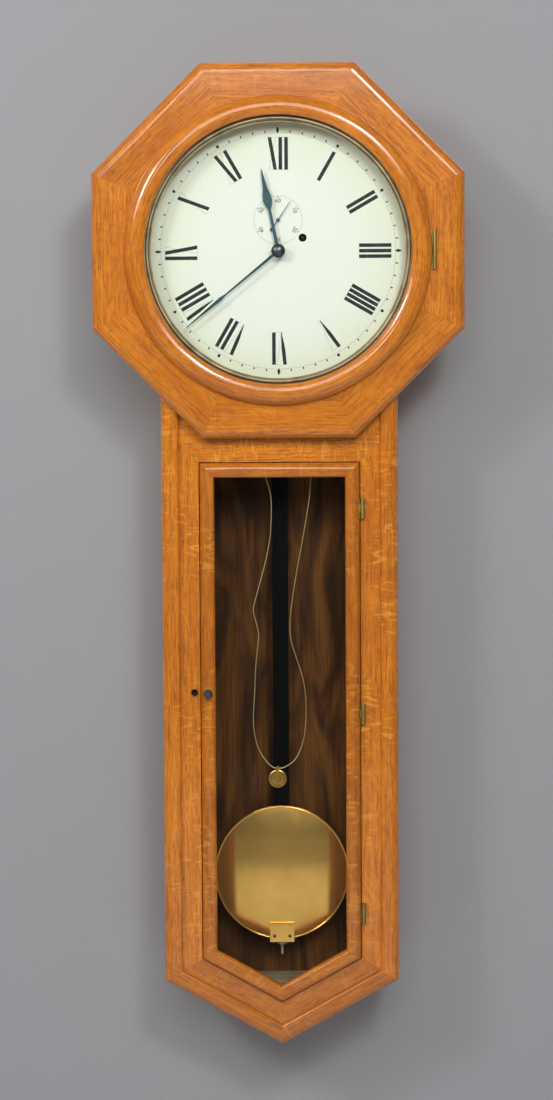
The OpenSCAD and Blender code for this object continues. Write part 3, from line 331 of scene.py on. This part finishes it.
def varnished_oak(source, stained=False, deep=0.0, flecks=0.5):
    """Golden oak under gloss varnish: broad figure, growth lines, open pores and ray flecks that follow the board.

    Deep wood is tinted redder by a share. Stained boards are dark where they are nearer to the clock's middle."""
    material, tree, shader = finish(
        f"oak_{source}{'_stained' * stained}_{deep:g}_{flecks:g}", Coat_Weight=0.0 if stained else 1.0,
        Coat_Roughness=0.08, Coat_IOR=1.6, Specular_IOR_Level=0.2)
    where = along_the_board(tree, source)
    broad = noise(tree, where, (7, 24, 24), detail=3, distortion=0.8)
    figure = noise(tree, where, (9, 24, 24), detail=2, distortion=0.3)
    rings = reckoned(tree, reckoned(tree, figure, 24), 1.0, "PINGPONG")
    lines = noise(tree, where, (20, 420, 420), detail=4, roughness=0.65, distortion=0.5)
    pores = noise(tree, where, (90, 1500, 1500), detail=2, roughness=0.55)
    fleck = noise(tree, where, (95, 26, 26), detail=3, distortion=1.8)
    patch = noise(tree, where, (9, 14, 14), detail=2)
    colour = blended(tree, ranged(tree, broad, 0.32, 0.68), linear(202, 114, 14), linear(228, 137, 27))
    colour = blended(tree, ranged(tree, rings, 0.4, 1.0, 0, 0.3), colour, linear(168, 86, 10))
    colour = blended(tree, ranged(tree, lines, 0.46, 0.66, 0, 0.6), colour, linear(160, 78, 6))
    dark = reckoned(tree, ranged(tree, pores, 0.52, 0.66), ranged(tree, lines, 0.38, 0.58))
    colour = blended(tree, reckoned(tree, dark, 0.7), colour, linear(96, 44, 6))
    pale = reckoned(tree, ranged(tree, fleck, 0.54, 0.64), ranged(tree, patch, 0.42, 0.56))
    colour = blended(tree, reckoned(tree, pale, flecks), colour, linear(246, 172, 60))
    if deep:
        colour = blended(tree, deep, colour, linear(104, 40, 8))
    if stained:
        place = put(tree, "ShaderNodeTexCoord").outputs["Object"]
        off_middle = reckoned(tree, put(tree, "ShaderNodeSeparateXYZ", {0: place}).outputs[0], 0.0, "ABSOLUTE")
        inside = reckoned(tree, off_middle, STAINED_WITHIN, "LESS_THAN")
        colour = blended(tree, inside, colour, linear(52, 33, 17))
    tree.links.new(colour, shader.inputs["Base Color"])
    tree.links.new(ranged(tree, lines, 0.3, 0.75, 0.34, 0.5), shader.inputs["Roughness"])
    bumped(tree, shader, reckoned(tree, dark, -1.0), 0.00012, 0.6)
    return material


def dark_walnut(source, bright=(118, 74, 32), dark=(62, 38, 18)):
    """Dark stained back boards: black-brown with wide wavy figure and fine lines, almost without gloss."""
    material, tree, shader = finish("walnut_" + source, Specular_IOR_Level=0.12)
    where = along_the_board(tree, source)
    wave = noise(tree, where, (5, 22, 22), detail=5, distortion=1.5)
    lines = noise(tree, where, (10, 380, 380), detail=4, roughness=0.65, distortion=0.4)
    colour = blended(tree, ranged(tree, wave, 0.38, 0.62), linear(*dark), linear(*bright))
    colour = blended(tree, ranged(tree, lines, 0.44, 0.66, 0, 0.5), colour, linear(*(0.5 * v for v in dark)))
    tree.links.new(colour, shader.inputs["Base Color"])
    tree.links.new(ranged(tree, lines, 0.3, 0.7, 0.45, 0.62), shader.inputs["Roughness"])
    bumped(tree, shader, lines, 0.00015, 0.4)
    return material


def worked_metal(
        name, bright, dull, rough, stretch=(60, 60, 60), metallic=1.0, shine=0.5, bump=0.00002, spots=0.5, lacquer=0.0):
    """Metal with cloudy tarnish, fine marks from finishing, slightly uneven gloss, and perhaps hazy lacquer."""
    material, tree, shader = finish(
        name, Metallic=metallic, Specular_IOR_Level=shine, Coat_Weight=lacquer, Coat_Roughness=0.5, Coat_IOR=1.5)
    where = put(tree, "ShaderNodeTexCoord").outputs["Object"]
    cloud = noise(tree, where, (28, 28, 28), detail=4, distortion=0.6)
    marks = noise(tree, where, stretch, size=20, detail=3, roughness=0.65)
    share = reckoned(tree, ranged(tree, cloud, 0.42, 0.7), spots)
    tree.links.new(blended(tree, share, linear(*bright), linear(*dull)), shader.inputs["Base Color"])
    uneven = reckoned(tree, ranged(tree, marks, 0.3, 0.7, 0, 0.08), ranged(tree, cloud, 0.3, 0.75, 0, 0.1), "ADD")
    tree.links.new(reckoned(tree, uneven, rough, "ADD"), shader.inputs["Roughness"])
    bumped(tree, shader, marks, bump, 0.5)
    return material


def painted_dial():
    """Cream dial paint, a little greener and darker towards the rim, with faint clouds and fine texture."""
    material, tree, shader = finish("dial_paint", Roughness=0.42, Specular_IOR_Level=0.35)
    place = put(tree, "ShaderNodeTexCoord").outputs["Object"]
    centred = put(tree, "ShaderNodeMapping", {
        "Vector": place, "Location": (0, 0, DIAL_DROP / 1000), "Scale": (1, 0, 1)})
    far = put(tree, "ShaderNodeVectorMath", {0: centred.outputs[0]}, operation="LENGTH").outputs["Value"]
    cloud = noise(tree, place, (14, 14, 14), detail=4)
    grain = noise(tree, place, (900, 900, 900), detail=2)
    rim = reckoned(tree, ranged(tree, far, 0.10, 0.182), ranged(tree, cloud, 0.2, 0.7, 0.6, 1.0))
    colour = blended(tree, rim, linear(236, 240, 230), linear(228, 234, 204))
    colour = blended(tree, ranged(tree, cloud, 0.45, 0.75, 0, 0.25), colour, linear(236, 241, 216))
    tree.links.new(colour, shader.inputs["Base Color"])
    bumped(tree, shader, grain, 0.00001, 0.3)
    return material


def dial_ink():
    """Black dial paint, slightly worn and blue-grey in places."""
    material, tree, shader = finish("dial_ink", Roughness=0.5, Specular_IOR_Level=0.3)
    place = put(tree, "ShaderNodeTexCoord").outputs["Object"]
    worn = noise(tree, place, (260, 260, 260), detail=4)
    colour = blended(tree, ranged(tree, worn, 0.5, 0.78, 0, 0.6), linear(24, 34, 38), linear(74, 86, 86))
    tree.links.new(colour, shader.inputs["Base Color"])
    return material


def window_glass():
    """Thin clear glass: what is behind shows through, with a reflection that grows at the edge of view."""
    material, tree, shader = finish("window_glass")
    tree.nodes.remove(shader)
    out = next(n for n in tree.nodes if n.type == "OUTPUT_MATERIAL")
    place = put(tree, "ShaderNodeTexCoord").outputs["Object"]
    ripple = noise(tree, place, (9, 9, 5), detail=2)
    bump = put(tree, "ShaderNodeBump", {"Height": ripple, "Distance": 0.0006, "Strength": 0.3})
    clear = put(tree, "ShaderNodeBsdfTransparent", {"Color": (0.985, 0.992, 0.985, 1)})
    shine = put(tree, "ShaderNodeBsdfGlossy", {"Roughness": 0.02, "Normal": bump.outputs[0]})
    edge = put(tree, "ShaderNodeFresnel", {"IOR": 1.13})
    mixed = put(tree, "ShaderNodeMixShader", {0: edge.outputs[0], 1: clear.outputs[0], 2: shine.outputs[0]})
    tree.links.new(mixed.outputs[0], out.inputs[0])
    return material


OAK = varnished_oak("grain")
OAK_UP = varnished_oak("upright")
OAK_LEVEL = varnished_oak("level")
OAK_DOOR = varnished_oak("upright", deep=0.24)
OAK_PLAIN = varnished_oak("grain", flecks=0.1)
OAK_DEEP = varnished_oak("grain", deep=0.2, flecks=0.3)
OAK_SIDES = varnished_oak("upright", stained=True)
WALNUT_UP = dark_walnut("upright")
DUSTY = dark_walnut("level", (168, 156, 128), (120, 108, 84))
DIAL_PAINT = painted_dial()
INK = dial_ink()
GLASS = window_glass()
BRASS = worked_metal("brass", (206, 164, 88), (140, 104, 52), 0.24)
# Brass of the movement and lock inside the case: cloudy tarnish, with its colour darkened as painted shade for the dim
# inside that shows through the winding holes
TARNISHED_SHADED_BRASS = worked_metal("tarnished_shaded_brass", (92, 72, 40), (52, 40, 22), 0.4, spots=0.8)
POLISHED = worked_metal("polished_brass", (252, 200, 104), (232, 178, 84), 0.07, metallic=0.86, lacquer=0.3)
BRONZED = worked_metal("bronzed_brass", (158, 146, 116), (96, 86, 62), 0.4, spots=0.7)
BLUED = worked_metal("blued_steel", (66, 92, 98), (34, 50, 58), 0.34, spots=0.8)
STEEL = worked_metal("steel", (176, 176, 172), (120, 118, 112), 0.3)
PALE_STEEL = worked_metal("pale_steel", (224, 222, 208), (180, 178, 166), 0.5)
DULL = worked_metal("dull_brass", (176, 156, 92), (122, 104, 58), 0.42, spots=0.8)
IRON = worked_metal("japanned_iron", (34, 33, 34), (22, 21, 22), 0.42, metallic=0.0, shine=0.2, bump=0.0002)
BLACKED = worked_metal("blacked_rod", (4, 4, 4), (8, 8, 9), 0.55, stretch=(400, 400, 6), metallic=0.0, shine=0.08)
KNOB = worked_metal("knob_steel", (104, 110, 114), (66, 70, 74), 0.28)
WIRE = worked_metal("cable_wire", (236, 214, 158), (164, 142, 92), 0.36)

FINISHES = (
    (WALNUT_UP, "backboard"),
    (DUSTY, "trunk_floor"),
    (OAK_SIDES, "trunk_side_left trunk_side_right"),
    (OAK_DOOR, "door_stile_left door_stile_right"),
    (OAK_UP, "frame_stiles trunk_mouldings"),
    (OAK_LEVEL, "frame_top_rail"),
    (DIAL_PAINT, "dial_plate"),
    (GLASS, "bezel_glass door_glass"),
    (BRONZED, "sight_ring glass_retainer"),
    (BRASS, "hanger_plate wood_screws keyhole_escutcheon lock_bolt suspension_spring pulley_stirrup"),
    (DULL, "case_hinge_leaves hinge_pins bezel_hinge_leaf door_hinge_leaves"),
    # Movement and lock parts take the brass darkened as painted shade
    (TARNISHED_SHADED_BRASS, "lock_body back_plate front_plate plate_pillars cable_post escape_wheel third_wheel centre_wheel "
           "great_wheel winding_barrel minute_wheel"),
    (POLISHED, "bob_bracket"),
    (BLUED, "movement_screws seconds_hand minute_hand hour_hand click"),
    (STEEL, "pallets crutch"),
    (PALE_STEEL, "rating_rod rating_nut"),
    (IRON, "movement_bracket suspension_cock"),
    (BLACKED, "pendulum_rod"),
    (KNOB, "door_knob hand_nut"))
for material, nodes in FINISHES:
    for node in nodes.split():
        cad = bpy.data.objects[node]
        cad.data.materials.clear()
        cad.data.materials.append(material)


# ---- Pulley and cable ----

def pulley():
    """Grooved wheel with a raised rim and hub on both faces."""
    face = np.array([(1.3, 0), (1.3, 2), (3.8, 2), (4.6, 1.0), (9.2, 0.7), (10.3, 2), (11.2, 2), (12.1, 1.7)])
    groove_at, groove_radius = 13.9, 1.7
    groove = np.radians(np.linspace(-50, 50, 11))
    rim = np.column_stack([groove_at - groove_radius * np.cos(groove), groove_radius * np.sin(groove[::-1])])
    profile = np.concatenate([face, rim, (face * [1, -1])[::-1]])
    return turned(profile + [0, PULLEY_DEPTH], PULLEY_PLACE, 64)


pulley_turned = make("pulley_turned", pulley(), BRASS, "pulley", ["pulley_wheel"], soft_angle=40)
route, cable_length = smooth_route(CABLE, 1.5)
cable = make(
    "weight_cable", rope(route, ROPE_RADIUS, 6, 9.0), WIRE, "case", ["cable"], soft_angle=180)


# ---- Oak case ----

def bar_profile(inner, outer, back, front):
    """Corners of a plain board, from its inset and depth on both sides."""
    return [(inner, back), (inner, front), (outer, front), (outer, back)]


def octagon_front():
    """Eight boards with a rounded outer edge: flat outside, round where the bezel covers them."""
    inner = 186
    edge = rounded(
        [(APOTHEM, HEAD_BACK), (APOTHEM, FACE), (inner, FACE), (inner, HEAD_BACK)], [0, 14, 1, 0], steps=13)
    outline = np.column_stack([edge, edge[:, 0] > inner + 14])
    return joined([sector(outline, 2 * CORNER * k, CORNER, 0.012, 1.7 * k) for k in range(8)])


def bezel_ring():
    """Half-round ring of eight pieces, with a rebate behind for the sight ring and glass."""
    crest_at, crest_radius = (196.2, RING_BACK - 1.36), 17.36
    inner, rebate, rebate_depth, outer = 185, 188.5, 4.6, 213
    a = np.radians(np.linspace(75.3, -40.1, 29))
    front = np.column_stack([crest_at[0] + crest_radius * np.sin(a), crest_at[1] + crest_radius * np.cos(a)])
    back = np.array([(inner, rebate_depth), (rebate, rebate_depth), (rebate, 0), (outer, 0)]) + [0, RING_BACK]
    outline = np.concatenate([front, back])
    outline = np.column_stack([outline, 0 * outline[:, 0]])
    return joined([sector(outline, CORNER + 2 * CORNER * k, CORNER, 0.004, 5, bent=True) for k in range(-4, 4)])


def head_boards():
    """Seven boards behind the octagon, mitred at its corners and cut off upright beside the trunk."""
    beside_trunk = 160
    sides = bar_profile(232, 246, BACKBOARD, HEAD_BACK - 0.4)
    flat = math.tan(math.radians(CORNER))
    boards = []
    for k in range(1, 8):
        a = math.radians(180 + 2 * CORNER * k)
        out, along = (math.sin(a), math.cos(a)), (math.cos(a), -math.sin(a))

        def ends(r, k=k):
            """Where a board starts and stops, which its radius sets."""
            cut = math.sqrt(2) * beside_trunk - r
            return (-r * flat if k != 1 else cut) + GLUE, (r * flat if k != 7 else -cut) - GLUE

        boards.append(board(sides, (0, 0), along, out, ends, seed=3.1 * k))
    return joined(boards)


def pointed(profile, seed):
    """Two boards of the pointed bottom, mitred at the tip and at the uprights."""
    def ends(u):
        """Where a board starts and stops, which its inset sets."""
        return u * math.tan(V_ANGLE) + GLUE, HALF / math.cos(V_ANGLE) - MITRE * u - GLUE

    out = (-math.sin(V_ANGLE), math.cos(V_ANGLE))
    along = (math.cos(V_ANGLE), math.sin(V_ANGLE))
    return [board(profile, (0, TIP), along, out, ends, side, seed) for side in (1, -1)]


DOOR_PROFILE = rounded(
    [(54, FRAME_BACK), (68.5, FRAME_BACK), (68.5, 114), (74.5, 114), (74.5, 128), (54, 128)], [0, 0, 0, 0, 6, 9],
    steps=9)
DOOR_TOP = -240
MOULDING = rounded([(0, FRAME_BACK), (25.5, FRAME_BACK), (25.5, 125), (0, 125)], [0, 0, 5, 12], steps=11)
FLAT = bar_profile(25.6, 52.8, FRAME_BACK, 118)
BOTTOM = bar_profile(6, 20, BACKBOARD, FRAME_BACK - 0.1)

make("octagon_front", octagon_front(), OAK_PLAIN, "case", ["octagon_staves"])
make("bezel_ring_oak", bezel_ring(), OAK_PLAIN, "bezel_door", ["bezel_ring"], merge=False)
make("head_box", head_boards(), OAK, "case", ["head_boards"])
make("pointed_moulding", joined(pointed(MOULDING, 2.0)), OAK_DEEP, "case", ["trunk_v_mouldings"])
make("pointed_flats", joined(pointed(FLAT, 7.0)), OAK_DEEP, "case", ["frame_v_rails"])
make("pointed_boards", joined(pointed(BOTTOM, 11.0)), OAK, "case", ["trunk_bottom_boards"])
top_rail = board(
    DOOR_PROFILE, (0, DOOR_TOP), (1, 0), (0, -1), lambda u: (u - HALF + GLUE, HALF - u - GLUE), seed=4.0)
make("door_rails_oak", joined([top_rail] + pointed(DOOR_PROFILE, 9.0)), OAK_DEEP, "trunk_door", ["door_rails"])


# ---- Dial marks ----

DIAL_FACE = 125.26  # depth of the paint marks, just in front of the dial
OUTER, SHOULDER, INNER = 157, 134, 112.5  # radii of a numeral's ends, and of where a V's thick stroke narrows
WIDE, HAIR = 5.0, 0.24  # widths of thick and thin strokes
STROKES = {
    "I": [(0, WIDE, OUTER, 0, WIDE, INNER)],
    "V": [(-5.4, WIDE, OUTER, -2.9, WIDE, SHOULDER), (-2.9, WIDE, SHOULDER, -0.4, 0.8, INNER),
          (5.2, HAIR, OUTER, 0.2, HAIR, INNER)],
    "X": [(-3.9, WIDE, OUTER, 3.9, WIDE, INNER), (4.6, HAIR, OUTER, -4.6, HAIR, INNER)]}
SERIF = 0.18
SERIF_PAST = {"I": 3.4, "V": 6.2, "X": 6.2}  # how far serifs reach past a letter's middle
SECONDS_UP = 43  # seconds dial's middle above the dial's centre
LETTER_SIZE = 1.38  # size of plain lettering, for figures of height 1
# Each hour's letters, each with the shift of its middle
HOURS = {
    1: "I 0", 2: "I -3.8 I 3.8", 3: "I -7.6 I 0 I 7.6", 4: "I -10.3 I -3.4 I 3.4 I 10.3", 5: "V -1.4",
    6: "V -3.4 I 6.7", 7: "V -8.6 I 1.3 I 9.4", 8: "V -12.2 I -2.7 I 5.6 I 13.8", 9: "I -9 X 2.2", 10: "X -1",
    11: "X -5.6 I 5.6", 12: "X -7.4 I 3.7 I 11.7"}


def flat_marks(corners):
    """Flat shapes just above the dial: an array of shapes, each with the same number of corners."""
    corners = np.asarray(corners, float)
    count, sides = corners.shape[:2]
    points = np.stack([corners[..., 0], np.full((count, sides), DIAL_FACE), corners[..., 1]], -1).reshape(-1, 3)
    return points, np.arange(count * sides).reshape(count, sides).tolist(), points.copy()


def around(angle, u, r):
    """Place on the dial from an angle, a shift across and a radius."""
    a = np.radians(angle)
    return np.stack([r * np.sin(a) + u * np.cos(a), r * np.cos(a) - u * np.sin(a)], -1)


def hour_strokes():
    """Each stroke of a numeral tapers between the shift, width and radius at its outer end and at its inner end."""
    rows = []
    for hour, drawn in HOURS.items():
        words = drawn.split()
        for letter, middle in zip(words[::2], map(float, words[1::2])):
            rows += [(30 * hour, middle + a, wa, ra, middle + b, wb, rb) for a, wa, ra, b, wb, rb in STROKES[letter]]
    angle, a, wa, ra, b, wb, rb = np.array(rows).T[..., None]
    u = np.concatenate([a - wa / 2, a + wa / 2, b + wb / 2, b - wb / 2], 1)
    r = np.concatenate([ra, ra, rb, rb], 1)
    return flat_marks(around(angle, u, r))


def serifs():
    """Hairlines that close the ends of each numeral's strokes."""
    rows = []
    for hour, drawn in HOURS.items():
        words = drawn.split()
        middles = [float(w) for w in words[1::2]]
        half_wide = [SERIF_PAST[w] for w in words[::2]]
        low = min(m - w for m, w in zip(middles, half_wide))
        high = max(m + w for m, w in zip(middles, half_wide))
        rows += [(30 * hour, low, high, OUTER + 0.2), (30 * hour, low, high, INNER - 0.2)]
    angle, low, high, r = np.array(rows).T[..., None]
    u = np.concatenate([low, high, high, low], 1)
    half = SERIF / 2
    return flat_marks(around(angle, u, np.concatenate([r + half, r + half, r - half, r - half], 1)))


def lozenges(angles, radius, half_wide, half_long, sides=12, power=1.0, centre=0.0):
    """Dots and diamonds round a circle; a lower power gives a rounder shape, and a higher one a sharper shape."""
    t = np.linspace(0, 2 * math.pi, sides, endpoint=False)
    u = half_wide * np.sign(np.cos(t)) * np.abs(np.cos(t)) ** power
    r = radius + half_long * np.sign(np.sin(t)) * np.abs(np.sin(t)) ** power
    shapes = around(np.asarray(angles, float)[:, None], u, r)
    return flat_marks(shapes + [0, centre])


def thin_circle(radius, width, centre=0.0, steps=180):
    """Flat ring as four-sided shapes."""
    a = np.linspace(0, 360, steps + 1)
    rim = [around(a, 0, radius - width / 2), around(a, 0, radius + width / 2)]
    return flat_marks(np.stack([rim[0][:-1], rim[1][:-1], rim[1][1:], rim[0][1:]], 1) + [0, centre])


def figure(word, angle, radius, centre, height):
    """A seconds figure from plain lettering, standing on its radius with its foot inwards."""
    text = bpy.data.curves.new("figure", "FONT")
    text.body, text.size, text.align_x, text.align_y = word, height * LETTER_SIZE, "CENTER", "CENTER"
    holder = bpy.data.objects.new("figure", text)
    mesh = holder.to_mesh()
    flat = np.zeros(len(mesh.vertices) * 3)
    mesh.vertices.foreach_get("co", flat)
    faces = [list(p.vertices) for p in mesh.polygons]
    flat = flat.reshape(-1, 3)
    places = around(angle, flat[:, 0], radius + flat[:, 1]) + [0, centre]
    points = np.stack([places[:, 0], np.full(len(places), DIAL_FACE), places[:, 1]], -1)
    holder.to_mesh_clear()
    bpy.data.objects.remove(holder)
    return points, faces, points.copy()


numbers = np.arange(60)
minutes = numbers * 6.0
between = minutes[numbers % 5 != 0]
fives = minutes[(numbers % 5 == 0) & (numbers % 15 != 0)]
make("dial_numerals", joined([
    hour_strokes(), serifs(), lozenges(between, 165.5, 1.05, 1.8, 8), lozenges(fives, 166.5, 2.1, 2.3, 12),
    lozenges([0, 90, 180, 270], 166.8, 2.1, 4.6, 16, 1.5), thin_circle(163.2, 0.24)]),
    INK, "case", merge=False)
tens = np.arange(6) * 60.0
make("seconds_figures", joined(
    [figure(str(10 * k or 60), 60.0 * k, 26.6, SECONDS_UP, 6.0) for k in range(6)]
    + [lozenges(tens, 31.8, 0.9, 0.9, 10, centre=SECONDS_UP), thin_circle(33.6, 0.18, SECONDS_UP, 120),
       lozenges(minutes, 32.6, 0.16, 0.8, 4, centre=SECONDS_UP)]),
    INK, "case", merge=False)


# ---- Pendulum bob ----

BOB_PLACE, BOB_RADIUS = (0, -888), 97
BOB_FRONT, FRONT_SPHERE = 56.5, 433.2  # depth of the middle, and radius of the sphere
BOB_BACK, BACK_SPHERE = 26.5, 592.1
BEAD_AT, BEAD_RADIUS = (95.75, 45.9), 1.25
BRACKET_FRONT = 53.4
SCREW_RADIUS = 2.35


def bob():
    """Lens: a shallow sphere in front and behind, with a rolled bead at the rim."""
    front = np.linspace(0, math.asin(94.4 / FRONT_SPHERE), 40)
    back = np.linspace(math.asin(BOB_RADIUS / BACK_SPHERE), 0, 16)
    bead = np.radians(np.linspace(-60, 150, 13))
    profile = np.concatenate([
        np.column_stack([FRONT_SPHERE * np.sin(front), BOB_FRONT - FRONT_SPHERE * (1 - np.cos(front))]),
        np.column_stack([BEAD_AT[0] + BEAD_RADIUS * np.sin(bead), BEAD_AT[1] + BEAD_RADIUS * np.cos(bead)]),
        [(BOB_RADIUS, 44.6), (BOB_RADIUS, 34.5)],
        np.column_stack([BACK_SPHERE * np.sin(back), BOB_BACK + BACK_SPHERE * (1 - np.cos(back))])])
    return turned(profile, BOB_PLACE, 160)


def bracket_screws():
    """Two dark domed screw heads on the front of the bob's bracket."""
    dome = np.radians(np.linspace(90, 0, 8))
    crown = np.column_stack([SCREW_RADIUS * np.sin(dome), 1.4 + 0.6 * np.cos(dome)])
    profile = np.concatenate([[(SCREW_RADIUS, 0)], crown]) + [0, BRACKET_FRONT]
    return joined([turned(profile, (x, -979), 24) for x in (-11, 11)])


make("bracket_screw_heads", bracket_screws(), INK, "pendulum")
make("bob_lens", bob(), POLISHED, "pendulum", ["pendulum_bob"], soft_angle=40)


# ---- Room and lamps ----

def plain(name, *colour):
    """Flat paint."""
    material, _, shader = finish(name, Roughness=0.9)
    shader.inputs["Base Color"].default_value = linear(*colour)
    return material


def one_sided(name, *colour):
    """Flat paint that is clear from behind and lets lamps through."""
    material, tree, shader = finish(name, Roughness=0.9, Specular_IOR_Level=0.1)
    shader.inputs["Base Color"].default_value = linear(*colour)
    out = next(n for n in tree.nodes if n.type == "OUTPUT_MATERIAL")
    seen = put(tree, "ShaderNodeNewGeometry").outputs["Backfacing"]
    lamp = put(tree, "ShaderNodeLightPath").outputs["Is Shadow Ray"]
    clear = put(tree, "ShaderNodeBsdfTransparent")
    share = reckoned(tree, seen, lamp, "MAXIMUM")
    mixed = put(tree, "ShaderNodeMixShader", {0: share, 1: shader.outputs[0], 2: clear.outputs[0]})
    tree.links.new(mixed.outputs[0], out.inputs[0])
    return material


def room():
    """Pale wall and floor, and a grey screen far in front that polished parts mirror."""
    side, near, wall, low, high = 6, -6, 0.004, -1.8, 4
    screen, screen_low, screen_high = -6.2, -0.66, 1.2
    for name, corners, paint in (
            ("wall", [(-side, wall, low), (side, wall, low), (side, wall, high), (-side, wall, high)],
             one_sided("pale_wall", 158, 159, 162)),
            ("floor", [(-side, near, low), (side, near, low), (side, -near, low), (-side, -near, low)],
             plain("floor", 200, 200, 200)),
            ("screen", [(side, screen, screen_low), (-side, screen, screen_low), (-side, screen, screen_high),
                        (side, screen, screen_high)], one_sided("screen", 104, 108, 98))):
        mesh = bpy.data.meshes.new(name)
        mesh.from_pydata(corners, [], [(0, 1, 2, 3)])
        mesh.materials.append(paint)
        plane = bpy.data.objects.new(name, mesh)
        scene.collection.objects.link(plane)


def softbox(name, place, aim, width, height, power):
    """Rectangular lamp at a place, facing a point."""
    data = bpy.data.lights.new(name, "AREA")
    data.shape, data.size, data.size_y, data.energy = "RECTANGLE", width, height, power
    lamp = bpy.data.objects.new(name, data)
    scene.collection.objects.link(lamp)
    lamp.location = place
    lamp.rotation_euler = (Vector(aim) - lamp.location).to_track_quat("-Z", "Y").to_euler()


def daylight(strength):
    """Even pale light from all round."""
    world = bpy.data.worlds.new("studio")
    world.use_nodes = True
    ground = next(n for n in world.node_tree.nodes if n.type == "BACKGROUND")
    ground.inputs[0].default_value = (0.84, 0.84, 0.85, 1)
    ground.inputs[1].default_value = strength
    scene.world = world


room()
daylight(0.2)
MIDDLE = (0, 0, -0.5)
LAMPS = (  # name, place, aim, width and height in metres, and power in watts
    ("upper_right", (0.9, -3.0, 1.35), MIDDLE, 1.3, 1.0, 24),
    ("upper_right_core", (0.87, -2.98, 1.34), MIDDLE, 0.5, 0.5, 22),
    ("upper_middle", (-0.5, -3.0, 1.5), MIDDLE, 1.4, 0.8, 13),
    ("upper_left", (-2.1, -2.2, 1.06), MIDDLE, 1.2, 1.1, 19),
    ("upper_left_core", (-2.08, -2.18, 1.06), MIDDLE, 0.5, 0.5, 20),
    ("front", (-0.1, -4.0, 1.05), (-0.1, 0, 1.0), 2.4, 1.0, 12),
    ("far_floor", (0, -4.9, 1.2), (0, -4.6, -1.2), 3.0, 1.6, 52),
    ("behind", (0.6, 3.0, 1.0), MIDDLE, 1.8, 1.8, 70))
for lamp in LAMPS:
    softbox(*lamp)
